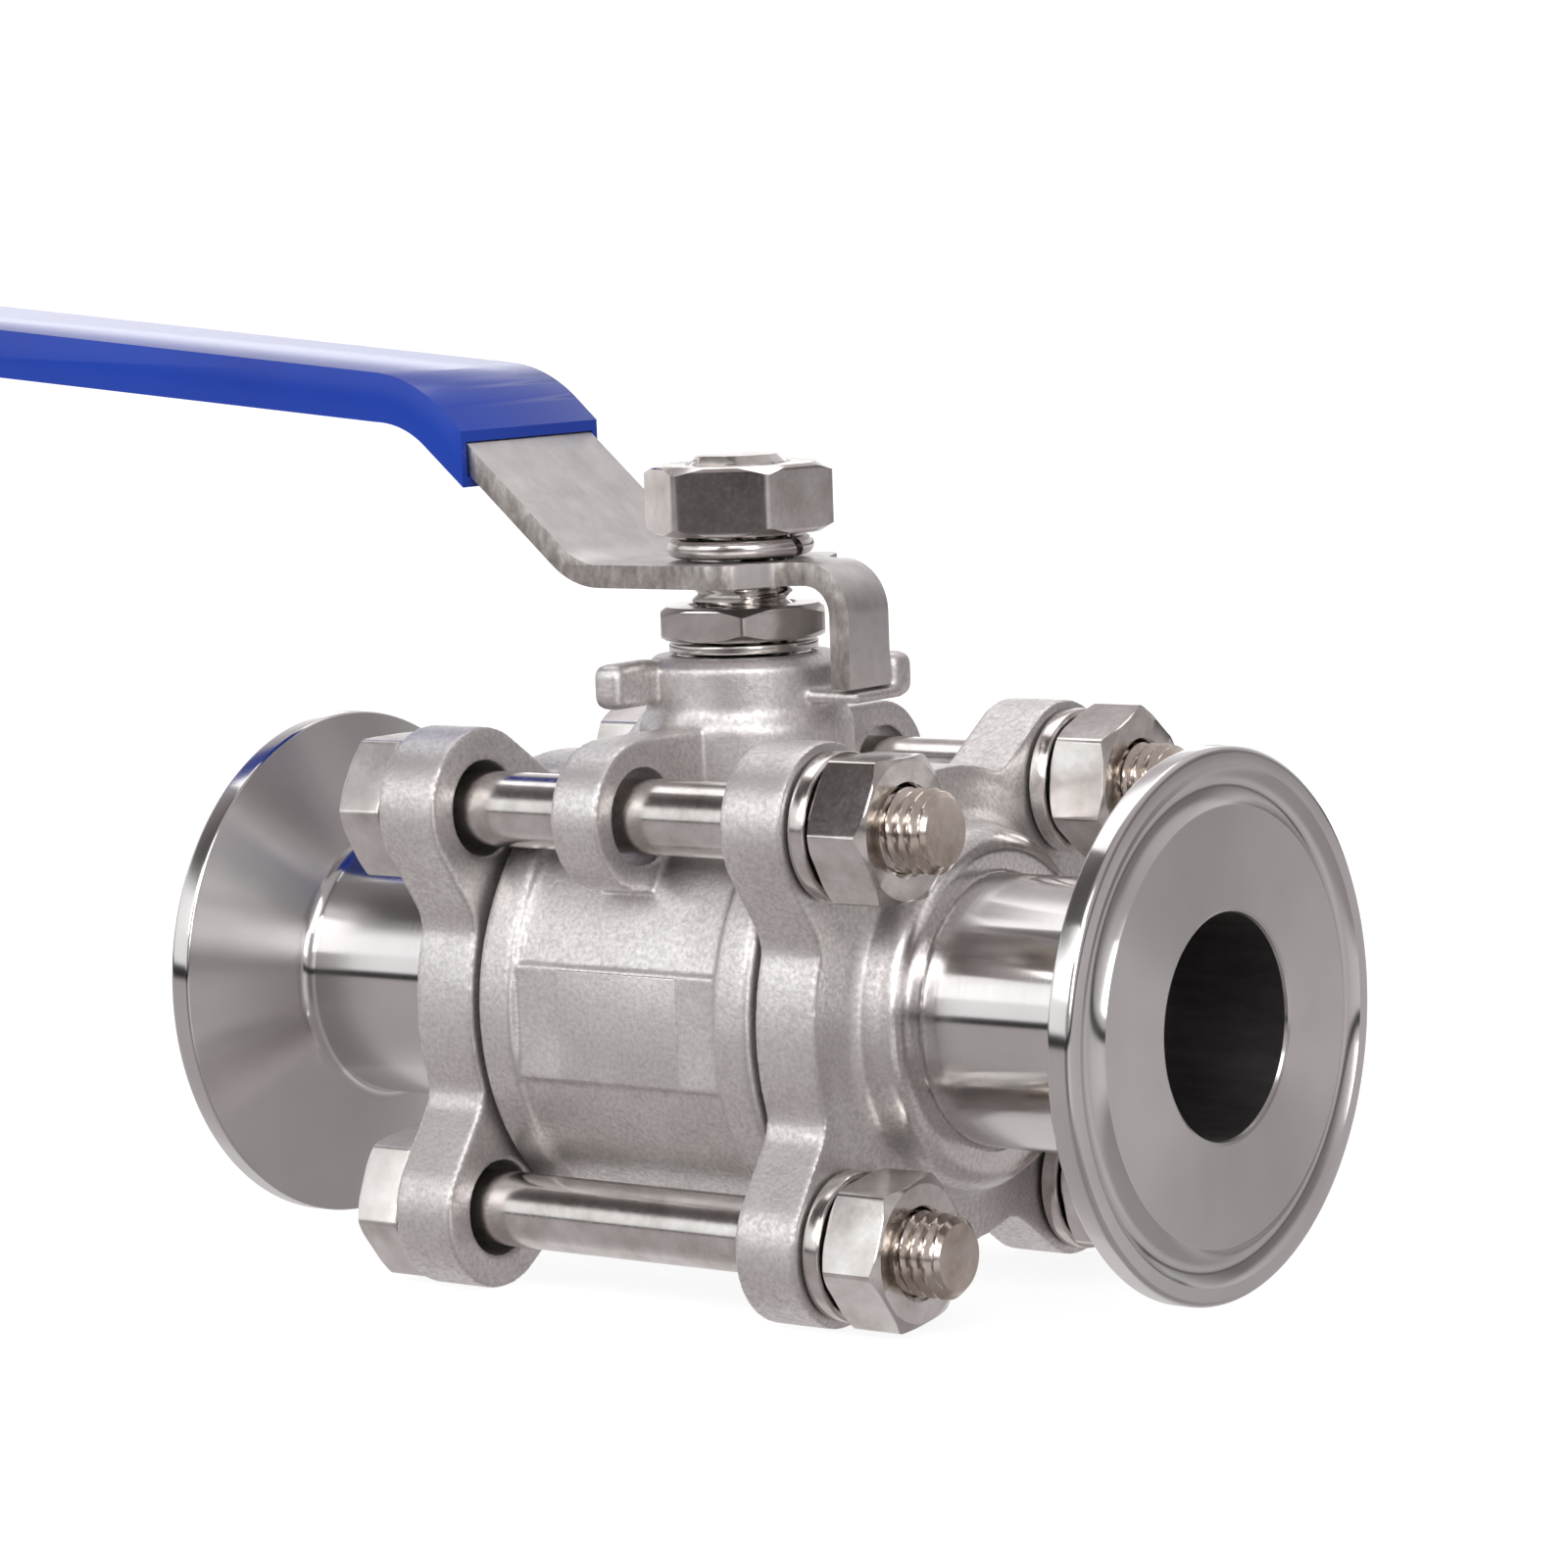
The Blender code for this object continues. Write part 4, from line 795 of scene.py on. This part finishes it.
def make_body():
    ring_foot = BODY_HALF_LENGTH - END_RING_WIDTH
    step = END_RING_RADIUS - BARREL_RADIUS
    half = [
        (0.0, BODY_HALF_LENGTH),
        (END_RING_RADIUS - step, BODY_HALF_LENGTH),
        (END_RING_RADIUS - step / 4, BODY_HALF_LENGTH - step / 4),
        (END_RING_RADIUS, BODY_HALF_LENGTH - step),
        (END_RING_RADIUS, ring_foot + step / 2),
        (END_RING_RADIUS - step / 4, ring_foot + step / 8),
        (BARREL_RADIUS, ring_foot - step / 4),
    ]
    barrel = half + [(radius, -height) for radius, height in reversed(half)]
    piece = moved(turned("body", barrel, ROUND), ALONG_RIGHT)
    pad_face = BARREL_RADIUS - PAD_SINK
    add(piece, block("pad", (-PAD_HALF_LENGTH, -pad_face, PAD_BOTTOM),
                     (PAD_HALF_LENGTH, -CAVITY_RADIUS, PAD_TOP)))
    cut(piece, block("crown", (-PAD_HALF_LENGTH, -pad_face - SPARE, PAD_BOTTOM),
                     (PAD_HALF_LENGTH, -pad_face, PAD_TOP)))
    right = arc((BOLT_OFFSET, BOLT_OFFSET), EAR_RADIUS, -90.0, 90.0, 32)
    ears = plate("ears", right + [(-y, z) for y, z in reversed(right)], EAR_THICKNESS)
    rounded(ears, EAR_EDGE, 3)
    stand = Matrix.Rotation(pi / 2, 4, "Z") @ Matrix.Rotation(pi / 2, 4, "X")
    add(piece, moved(ears, Matrix.Translation((EAR_SHIFT, 0.0, 0.0)) @ stand))
    drop = NECK_FLARE_TOP - NECK_FLARE_FOOT
    widen = NECK_FOOT_RADIUS - NECK_RADIUS
    flare = []
    for index in range(9):
        share = index / 8
        flare.append((NECK_RADIUS + widen * (1 - cos(pi * share)) / 2, NECK_FLARE_TOP - drop * share))
    root = CAVITY_RADIUS - SPARE
    neck = [
        (0.0, NECK_TOP),
        (NECK_RADIUS - NECK_EDGE, NECK_TOP),
        (NECK_RADIUS, NECK_TOP - NECK_EDGE),
    ] + flare + [
        (NECK_FOOT_RADIUS, root),
        (0.0, root),
    ]
    add(piece, turned("neck", neck, ROUND))
    inner = NECK_RADIUS - SPARE
    side = STOP_FACE + LUG_WIDTH
    open_stop = block("open_stop", (inner, STOP_FACE, LUG_FOOT), (LUG_REACH, side, NECK_TOP))
    rounded(open_stop, LUG_EDGE, 3)
    ledge = block("ledge", (inner, -LEDGE_OVERHANG, LUG_FOOT),
                  (LUG_REACH, STOP_FACE + LUG_WIDTH / 2, LUG_FOOT + LEDGE_HEIGHT))
    add(open_stop, rounded(ledge, LEDGE_HEIGHT / 3, 2))
    closed_stop = block("closed_stop", (-side, -LUG_REACH, LUG_FOOT), (-STOP_FACE, -inner, NECK_TOP))
    add(piece, open_stop)
    add(piece, rounded(closed_stop, LUG_EDGE, 3))
    mouth = BODY_HALF_LENGTH - SEAL_SEAT_DEPTH
    beyond = BODY_HALF_LENGTH + SPARE
    cavity = [(0.0, beyond), (SEAL_SEAT_RADIUS, beyond), (SEAL_SEAT_RADIUS, mouth), (CAVITY_RADIUS, mouth)]
    cavity += [(radius, -height) for radius, height in reversed(cavity)]
    cut(piece, moved(turned("cavity", cavity, ROUND), ALONG_RIGHT))
    stem_way = [
        (0.0, NECK_TOP + SPARE),
        (STUFFING_RADIUS, NECK_TOP + SPARE),
        (STUFFING_RADIUS, STUFFING_FOOT),
        (STEM_RADIUS + FIT, STUFFING_FOOT),
        (STEM_RADIUS + FIT, GUIDE_FOOT),
        (SHOULDER_RADIUS + FIT, GUIDE_FOOT),
        (SHOULDER_RADIUS + FIT, CAVITY_RADIUS / 2),
        (0.0, CAVITY_RADIUS / 2),
    ]
    cut(piece, turned("stem_way", stem_way, SMALL))
    holes = []
    for y in (-BOLT_OFFSET, BOLT_OFFSET):
        hole = rod("ear_hole", BOLT_HOLE_RADIUS, -EAR_THICKNESS, EAR_THICKNESS, SMALL)
        holes.append(moved(hole, Matrix.Translation((EAR_SHIFT, y, BOLT_OFFSET)) @ ALONG_RIGHT))
    cut(piece, joined("ear_holes", holes))
    return moulded(piece)


def make_plaque():
    """Raised field in the middle of the pad, bare."""
    face = BARREL_RADIUS - PAD_SINK
    field = block("plaque", (PLAQUE_START, -face - PLAQUE_PROUD, PAD_BOTTOM + PLAQUE_EDGE),
                  (PLAQUE_END, -face + PLAQUE_PROUD, PAD_TOP - PLAQUE_EDGE))
    return rounded(field, PLAQUE_PROUD * 0.8, 3)


# Ferrules

def make_ferrule():
    face = HALF_LENGTH
    band = HALF_LENGTH - RIM_FACE_DROP
    groove_start = GROOVE_RADIUS - GROOVE_HALF_WIDTH
    groove = [(groove_start - 0.25 * MM, face), (groove_start - 0.02 * MM, face)]
    for step in range(17):
        share = step / 16
        level = face + (band - face) * share
        dip = GROOVE_DEPTH * sin(pi * share) ** 0.8
        groove.append((groove_start + 2 * GROOVE_HALF_WIDTH * share, level - dip))
    edge = [
        (RIM_RADIUS - RIM_EDGE + radius, band - RIM_EDGE + height)
        for radius, height in arc((0.0, 0.0), RIM_EDGE, 90.0, 0.0, 8)
    ]
    taper_drop = (RIM_RADIUS - TUBE_RADIUS) * tan(radians(RIM_BACK_ANGLE))
    tube_foot = HUB_END - SOCKET_DEPTH + FIT
    back = softened(
        [edge[-1], (RIM_RADIUS, RIM_BACK), (TUBE_RADIUS, RIM_BACK - taper_drop), (TUBE_RADIUS, tube_foot)],
        {1: 0.35 * MM, 2: TUBE_FILLET}, steps=8, closed=False)[1:]
    bore = [
        (FERRULE_BORE_RADIUS, tube_foot),
        (FERRULE_BORE_RADIUS, face - BORE_CHAMFER),
        (FERRULE_BORE_RADIUS + BORE_CHAMFER * 0.3, face - BORE_CHAMFER * 0.3),
        (FERRULE_BORE_RADIUS + BORE_CHAMFER, face),
        (FERRULE_BORE_RADIUS + BORE_CHAMFER + 0.2 * MM, face),
    ]
    piece = turned("ferrule", groove + edge + back + bore, 192, ring=True)
    piece.data.materials.append(TURNED_X)
    piece.data.materials.append(BORE)
    # faces inside the bore take the bore steel, whose darker grey is painted shade of the recess
    for face in piece.data.polygons:
        centre = face.center
        if sqrt(centre.x ** 2 + centre.y ** 2) < FERRULE_BORE_RADIUS + 0.05 * MM:
            face.material_index = 1
    return piece


# Fasteners

def hexagon(name, across_flats, foot, top, chamfered, edge=HEX_EDGE):
    corner = across_flats / 2 / cos(pi / 6)
    prism = plate(name, arc((0.0, 0.0), corner, 0.0, 300.0, 5), top - foot)
    moved(prism, Matrix.Translation((0.0, 0.0, (foot + top) / 2)))
    rounded(prism, edge, 4, angle=40.0)
    flat = across_flats / 2 * HEX_FACE_SHARE
    wide = corner + FIT
    drop = (wide - flat) * tan(radians(HEX_CHAMFER_ANGLE))
    profile = [(0.0, top + SPARE), (wide, top + SPARE)]
    if "top" in chamfered:
        profile = [(0.0, top), (flat, top), (wide, top - drop)]
    if "foot" in chamfered:
        profile += [(wide, foot + drop), (flat, foot), (0.0, foot)]
    else:
        profile += [(wide, foot - SPARE), (0.0, foot - SPARE)]
    return keep(prism, turned("chamfer", profile, 96))


def hex_nut(name, across_flats, foot, height, thread_radius, edge=HEX_EDGE):
    nut = hexagon(name, across_flats, foot, foot + height, ("top", "foot"), edge)
    mouth = thread_radius + 0.45 * MM
    bore = thread_radius + 0.04 * MM
    top = foot + height
    deep = mouth - bore
    profile = [
        (0.0, top + SPARE), (mouth, top + SPARE), (mouth, top), (bore, top - deep),
        (bore, foot + deep), (mouth, foot), (mouth, foot - SPARE), (0.0, foot - SPARE),
    ]
    return cut(nut, turned("bore", profile, 72))


def make_bolt():
    head = hexagon("bolt", BOLT_HEX, -HEAD_HEIGHT, 0.0, ("foot",))
    shank = threaded("shank", BOLT_RADIUS, 0.62 * MM, BOLT_PITCH, -HEAD_HEIGHT / 2, BOLT_LENGTH,
                     THREAD_CHAMFER, BOLT_LENGTH - THREAD_LENGTH, SHANK_RADIUS)
    bolt = joined("bolt", [head, shank])
    for material in (BRIGHT, THREAD, FORGED):
        bolt.data.materials.append(material)
    for face in bolt.data.polygons:
        # thread faces take the thread steel with its painted brown reflection
        if face.center.z > BOLT_LENGTH - THREAD_LENGTH:
            face.material_index = 1
        elif face.center.z < 0.0 or face.center.xy.length > BOLT_RADIUS:
            face.material_index = 2
    return bolt


def split_ring(ring, reach, height, foot=0.0):
    half = WASHER_SPLIT / 2
    slab = block("split", (0.0, -half, -height), (reach + SPARE, half, height))
    lean = Matrix.Rotation(radians(SPLIT_LEAN), 4, "X")
    return cut(ring, moved(slab, Matrix.Translation((0.0, 0.0, foot + height / 2)) @ lean))


def make_lock_washer():
    washer = tube("lock_washer", WASHER_RADIUS, BOLT_RADIUS + FIT, 0.0, WASHER_HEIGHT, 72)
    rounded(washer, 0.22 * MM, 3)
    return split_ring(washer, WASHER_RADIUS, WASHER_HEIGHT)


def make_lock_ring():
    half = LOCK_RING_WIRE / 2
    circle = arc((LOCK_RING_RADIUS - half, LOCK_RING_FOOT + half), half, 90.0, -255.0, 23)
    ring = turned("lock_ring", circle, 96, ring=True)
    return split_ring(ring, LOCK_RING_RADIUS, LOCK_RING_WIRE, LOCK_RING_FOOT)


# Stem and lever

def make_stem():
    tang_foot = BALL_RADIUS - SLOT_DEPTH + FIT
    shaft = threaded("shaft", STEM_RADIUS, 0.6 * MM, STEM_PITCH, SHOULDER_TOP - FIT, STEM_TOP,
                     STEM_CHAMFER, NECK_TOP - STEM_PITCH, STEM_RADIUS - 0.3 * MM, steps=96)
    slabs = []
    for side in (-1, 1):
        near, far = sorted((side * STEM_HALF_FLATS, side * 2 * STEM_RADIUS))
        slabs.append(block("flat", (-2 * STEM_RADIUS, near, STEM_FLATS_FOOT),
                           (2 * STEM_RADIUS, far, STEM_TOP + STEM_CHAMFER)))
    cut(shaft, joined("flats", slabs))
    shoulder = rounded(rod("shoulder", SHOULDER_RADIUS, SHOULDER_FOOT, SHOULDER_TOP, SMALL), 0.2 * MM, 2)
    tang = block("tang", (-TANG_HALF_THICKNESS, -TANG_HALF_WIDTH, tang_foot),
                 (TANG_HALF_THICKNESS, TANG_HALF_WIDTH, SHOULDER_FOOT + FIT))
    return joined("stem", [shaft, shoulder, rounded(tang, 0.2 * MM, 2)])


def lever_line(extra=0.0):
    middle = LEVER_FOOT + LEVER_THICKNESS / 2
    tab = TAB_REACH - LEVER_THICKNESS / 2
    grip = -LEVER_RISE_START - (LEVER_RISE_TOP - middle) / tan(radians(LEVER_RISE_ANGLE))
    end = -LEVER_LENGTH - extra
    return [
        (tab, TAB_FOOT),
        (tab, middle),
        (-LEVER_RISE_START, middle),
        (grip, LEVER_RISE_TOP),
        (end, LEVER_RISE_TOP + (grip - end) * tan(radians(GRIP_ANGLE))),
    ]


def strip(name, line, thickness, width):
    bends = {1: TAB_BEND_RADIUS, 2: RISE_BEND_RADIUS, 3: GRIP_BEND_RADIUS}
    middle = [Vector(point) for point in softened(line, bends, steps=16, closed=False)]
    left, right = [], []
    for index, point in enumerate(middle):
        before = middle[max(index - 1, 0)]
        after = middle[min(index + 1, len(middle) - 1)]
        back = (point - before).normalized() if index else (after - point).normalized()
        ahead = (after - point).normalized() if index < len(middle) - 1 else back
        heading = (back + ahead).normalized()
        half = thickness(point.x) / 2 / heading.dot(ahead)
        across = Vector((-heading.y, heading.x)) * half
        left.append(tuple(point + across))
        right.append(tuple(point - across))
    bar = plate(name, left + right[::-1], width)
    return moved(bar, Matrix.Rotation(pi / 2, 4, "X"))


def lever_plan(name, growth=0.0):
    half = LEVER_WIDTH / 2 + growth
    end = -LEVER_LENGTH - growth
    beyond = TAB_REACH + SPARE
    corners = [
        (beyond, -TAB_HALF_WIDTH), (beyond, TAB_HALF_WIDTH),
        (TAB_SHOULDER + TAB_SHOULDER_ROUND, TAB_HALF_WIDTH), (TAB_SHOULDER, half),
        (end, half), (end, -half),
        (TAB_SHOULDER, -half), (TAB_SHOULDER + TAB_SHOULDER_ROUND, -TAB_HALF_WIDTH),
    ]
    radii = {2: TAB_SHOULDER_ROUND, 3: TAB_SHOULDER_ROUND, 4: LEVER_CORNER, 5: LEVER_CORNER,
             6: TAB_SHOULDER_ROUND, 7: TAB_SHOULDER_ROUND}
    return plate(name, softened(corners, radii, steps=16), 2 * (LEVER_RISE_TOP + LEVER_LENGTH))


def make_lever():
    bar = strip("lever", lever_line(), lambda x: LEVER_THICKNESS, LEVER_WIDTH)
    keep(bar, lever_plan("plan"))
    hole = rod("hole", STEM_RADIUS + FIT, LEVER_FOOT - SPARE, LEVER_TOP + SPARE, SMALL)
    flats = STEM_HALF_FLATS + FIT
    keep(hole, block("double_d", (-LEVER_WIDTH, -flats, 0.0), (LEVER_WIDTH, flats, STEM_TOP)))
    cut(bar, hole)
    rounded(bar, 0.28 * MM, 3, angle=55.0)
    bar.data.materials.append(PLATE)
    bar.data.materials.append(SHEARED)
    for face in bar.data.polygons:
        side = abs(face.normal.y) > 0.6 or (face.normal.z < -0.9 and face.center.z < TAB_FOOT + 0.2 * MM)
        if side:
            face.material_index = 1
    return bar


def make_sleeve():
    side = FIT + SLEEVE_SIDE_WALL

    def skin_thickness(x):
        share = min(max((-x - SLEEVE_START) / SLEEVE_TAPER, 0.0), 1.0)
        wall = SLEEVE_MOUTH_WALL + (SLEEVE_WALL - SLEEVE_MOUTH_WALL) * share
        return LEVER_THICKNESS + 2 * (FIT + wall)

    skin = strip("sleeve", lever_line(side), skin_thickness, LEVER_WIDTH + 2 * side)
    keep(skin, lever_plan("skin_plan", side))
    rounded(skin, SLEEVE_EDGE, 6)
    cut(skin, block("mouth", (-SLEEVE_START, -LEVER_WIDTH, 0.0), (LEVER_LENGTH, LEVER_WIDTH, LEVER_LENGTH)))
    pocket = strip("pocket", lever_line(FIT / 2), lambda x: LEVER_THICKNESS + FIT, LEVER_WIDTH + FIT)
    keep(pocket, lever_plan("pocket_plan", FIT / 2))
    return cut(skin, pocket)


# Assembly

cap = make_cap()
other_cap = twin(cap, "left_cap_casting")
dress(cap, "right_cap_casting", [CAP_CAST], "valve", ["right_cap"], ALONG_RIGHT)
dress(other_cap, "left_cap_casting", [CAP_CAST], "valve", ["left_cap"], ALONG_LEFT)
dress(make_body(), "body_casting", [CAST], "valve", ["body"])
dress(make_plaque(), "bare_plaque", [CAST], "valve", [])

ferrule = make_ferrule()
other_ferrule = twin(ferrule, "left_ferrule_turned")
dress(ferrule, "right_ferrule_turned", [TURNED_X], "valve", ["right_ferrule"],
      ALONG_RIGHT, TURNED_CREASE)
dress(other_ferrule, "left_ferrule_turned", [TURNED_X], "valve", ["left_ferrule"],
      ALONG_LEFT, TURNED_CREASE)

fasteners = {
    "bolt": (make_bolt(), -FLANGE_OUTER - FIT, "threaded_bolt_"),
    "lock_washer": (make_lock_washer(), WASHER_FOOT, "split_washer_"),
    "nut": (hex_nut("nut", BOLT_HEX, 0.0, NUT_HEIGHT, BOLT_RADIUS), NUT_FOOT, "hex_nut_"),
}
for kind, (shape, start, prefix) in fasteners.items():
    copies = [shape] + [twin(shape, prefix + corner) for corner in list(CORNERS)[1:]]
    for piece, (corner, (y, z)) in zip(copies, CORNERS.items()):
        spin = Matrix.Rotation(pi / 2 + radians(HEX_TURNS[corner]), 4, "Z")
        place = Matrix.Translation((start, y, z)) @ ALONG_RIGHT @ spin
        dress(piece, prefix + corner, [BRIGHT], "valve", [kind + "_" + corner],
              place, HEX_CREASE)

spring = tube("spring", SPRING_RADIUS, STEM_RADIUS + FIT, SPRING_FOOT, SPRING_FOOT + SPRING_HEIGHT, 96)
dress(rounded(spring, 0.2 * MM, 3), "spring_washer", [BRIGHT], "lever", ["disc_spring"])
packing_nut = hex_nut("packing_nut_fine", PACKING_NUT_HEX, PACKING_NUT_FOOT, PACKING_NUT_HEIGHT, STEM_RADIUS)
dress(packing_nut, "packing_nut_fine", [BRIGHT], "lever", ["packing_nut"],
      Matrix.Rotation(radians(PACKING_NUT_TURN), 4, "Z"), HEX_CREASE)
lever_nut = hex_nut("lever_nut_fine", LEVER_NUT_HEX, LEVER_NUT_FOOT, LEVER_NUT_HEIGHT, STEM_RADIUS,
                    LEVER_NUT_EDGE)
dress(lever_nut, "lever_nut_fine", [BRIGHT], "lever", ["lever_nut"],
      Matrix.Rotation(radians(LEVER_NUT_TURN), 4, "Z"), HEX_CREASE)
dress(make_lock_ring(), "lever_lock_ring", [BRIGHT], "lever", ["lever_lock_washer"])
dress(make_stem(), "threaded_stem", [BRIGHT], "lever", ["stem"])
dress(make_lever(), "lever_plate", [PLATE, SHEARED], "lever", ["lever"])
dress(make_sleeve(), "lever_grip", [VINYL], "lever", ["lever_sleeve"])

carried = {
    "ball": TURNED_X, "gland_ring": TURNED_Z, "thrust_washer": PTFE,
    "right_seat": PTFE, "left_seat": PTFE, "right_body_seal": PTFE, "left_body_seal": PTFE,
    "packing_ring_1": PTFE, "packing_ring_2": PTFE, "packing_ring_3": PTFE,
}
for name, material in carried.items():
    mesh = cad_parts[name].data
    for index in range(len(mesh.materials)):
        mesh.materials[index] = material
    if not mesh.materials:
        mesh.materials.append(material)


# Studio

def tint(value):
    """Grey of the room: neutral where bright, faintly brown where dim."""
    warm = 0.11 * (1.0 - min(value, 1.0))
    return (value * (1.0 + warm), value * (1.0 - 0.3 * warm), value * (1.0 - 0.2 * warm))


def band(tree, turn, stops):
    """Brightness round the horizon; a place is the azimuth from -180 to 180 degrees."""
    return ramp(tree, turn, [(place / 360.0 + 0.5, tint(value)) for place, value in stops])


def world_light():
    """Room seen in the metal: four bands of elevation with their own course round, and a dark horizon."""
    world = bpy.data.worlds.new("studio")
    bpy.context.scene.world = world
    world.use_nodes = True
    tree = world.node_tree
    place = node(tree, "ShaderNodeTexCoord")
    split = node(tree, "ShaderNodeSeparateXYZ")
    link(tree, place.outputs["Generated"], split.inputs["Vector"])
    angle = node(tree, "ShaderNodeMath", operation="ARCTAN2")
    link(tree, split.outputs["Y"], angle.inputs[0])
    link(tree, split.outputs["X"], angle.inputs[1])
    turn = spread(tree, angle.outputs["Value"], 0.0, 1.0, -pi, pi)
    height = split.outputs["Z"]
    floor = band(tree, turn, [(-180, 0.60), (-150, 0.45), (-127, 0.45), (-76, 0.28), (13, 0.34), (64, 0.32),
                              (127, 0.70)])
    under = band(tree, turn, [(-180, 0.60), (-145, 0.46), (-112, 0.46), (-92, 0.25), (-76, 0.13), (-62, 0.20),
                              (-40, 0.70), (0, 0.60), (22, 0.48), (40, 0.60), (54, 0.50), (60, 0.45),
                              (100, 0.70), (150, 0.70)])
    level = band(tree, turn, [(-180, 0.70), (-145, 1.05), (-112, 1.05), (-92, 0.50), (-76, 0.25), (-60, 0.30),
                              (-40, 0.65), (0, 0.50), (20, 0.22), (56, 0.20), (100, 0.80), (150, 0.90)])
    high = band(tree, turn, [(-180, 0.30), (-150, 0.09), (-120, 0.10), (-80, 0.45), (0, 0.45), (60, 0.55),
                             (90, 0.75),
                             (130, 0.50), (153, 0.42)])
    colour = floor
    for above, start, end in ((under, -0.50, -0.32), (level, -0.01, 0.01), (high, 0.42, 0.54)):
        mix = node(tree, "ShaderNodeMix", data_type="RGBA")
        link(tree, spread(tree, height, 0.0, 1.0, start, end), mix.inputs["Factor"])
        link(tree, colour, mix.inputs["A"])
        link(tree, above, mix.inputs["B"])
        colour = mix.outputs["Result"]
    edge = ramp(tree, spread(tree, height, 0.0, 1.0, -0.25, 0.25), [
        (0.38, (1.0, 1.0, 1.0)), (0.43, (0.04, 0.04, 0.04)),
        (0.55, (0.04, 0.04, 0.04)), (0.59, (1.0, 1.0, 1.0))])
    dark = node(tree, "ShaderNodeMix", data_type="RGBA", blend_type="MULTIPLY")
    dark.inputs["Factor"].default_value = 1.0
    link(tree, colour, dark.inputs["A"])
    link(tree, edge, dark.inputs["B"])
    link(tree, dark.outputs["Result"], tree.nodes["Background"].inputs["Color"])


def softbox(name, place, target, width, height, power):
    light = bpy.data.lights.new(name, "AREA")
    light.shape = "RECTANGLE"
    light.size = width
    light.size_y = height
    light.energy = power
    lamp = bpy.data.objects.new(name, light)
    bpy.context.scene.collection.objects.link(lamp)
    lamp.location = place
    lamp.rotation_euler = (Vector(target) - Vector(place)).to_track_quat("-Z", "Y").to_euler()
    return lamp


def pale(name, value, strength):
    """Stage paint that stays bright to the camera."""
    material, tree, shader = shader_of(name)
    cloud = noise_at(tree, 3.0, 2.0, 0.5)
    colour = ramp(tree, cloud, [(0.3, (value,) * 3), (0.7, (value + 0.01,) * 3)])
    link(tree, colour, shader.inputs["Base Color"])
    shader.inputs["Roughness"].default_value = 0.9
    shader.inputs["Emission Color"].default_value = (1.0, 1.0, 1.0, 1.0)
    shader.inputs["Emission Strength"].default_value = strength
    return material


def sweep(floor_height):
    """Round floor that curves up into a wall on all sides."""
    reach, rise, radius = 1.9, 2.4, 0.7
    side = [(0.0, floor_height), (reach - radius, floor_height)]
    side += arc((reach - radius, floor_height + radius), radius, -90.0, 0.0, 24)[1:]
    side.append((reach, floor_height + rise))
    shape = bmesh.new()
    steps = 96
    centre = shape.verts.new((0.0, 0.0, floor_height))
    rings = []
    for out, height in side[1:]:
        turns = [2 * pi * step / steps for step in range(steps)]
        rings.append([shape.verts.new((out * cos(turn), out * sin(turn), height)) for turn in turns])
    for step in range(steps):
        after = (step + 1) % steps
        shape.faces.new((centre, rings[0][step], rings[0][after]))
        for low, high in zip(rings, rings[1:]):
            shape.faces.new((low[step], high[step], high[after], low[after]))
    mesh = bpy.data.meshes.new("floor_sweep")
    shape.to_mesh(mesh)
    shape.free()
    mesh.shade_smooth()
    piece = link_mesh("floor_sweep", mesh)
    mesh.materials.append(pale("pale_floor", 0.25, 0.86))
    piece.visible_glossy = False


scene = bpy.context.scene
scene.view_settings.view_transform = "Standard"
scene.view_settings.look = "None"
world_light()
floor_height = cad_box[0].z - 0.05 * MM
sweep(floor_height)
softbox("front_left_box", (-0.30, -1.05, 0.60), (0.0, 0.0, 0.0), 0.6, 0.6, 3.0)
softbox("top_back_box", (-0.35, 0.25, 0.95), (0.0, 0.0, 0.0), 0.9, 0.6, 2.2)
softbox("right_box", (1.00, -0.70, 0.45), (0.0, 0.0, 0.0), 0.4, 0.6, 3.0)
softbox("camera_side_box", (0.44, -0.63, 0.64), (0.0, 0.0, 0.0), 0.5, 0.4, 2.0)
softbox("back_box", (-0.68, 0.95, 0.26), (0.0, 0.0, 0.0), 0.6, 0.16, 0.42)

# Camera, fitted to the photograph
AZIMUTH, ELEVATION, ROLL = radians(36.952), radians(6.336), radians(-2.035)
DISTANCE, TARGET_X, TARGET_Z = 0.512568, 3.331 * MM, 19.797 * MM
back = Vector((sin(AZIMUTH) * cos(ELEVATION), -cos(AZIMUTH) * cos(ELEVATION), sin(ELEVATION)))
level = Vector((cos(AZIMUTH), sin(AZIMUTH), 0.0))
up = back.cross(level)
right = level * cos(ROLL) + up * sin(ROLL)
above = up * cos(ROLL) - level * sin(ROLL)
lens = bpy.data.cameras.new("photo_camera")
lens.sensor_width = 36.0
lens.lens = 36.0 * 5498.744 / 1600.0
lens.clip_start = 0.02
lens.clip_end = 20.0
camera = bpy.data.objects.new("photo_camera", lens)
bpy.context.scene.collection.objects.link(camera)
turn = Matrix((right, above, back)).transposed().to_4x4()
target = level * TARGET_X + Vector((0.0, 0.0, TARGET_Z))
camera.matrix_world = Matrix.Translation(target + back * DISTANCE) @ turn
bpy.context.scene.camera = camera
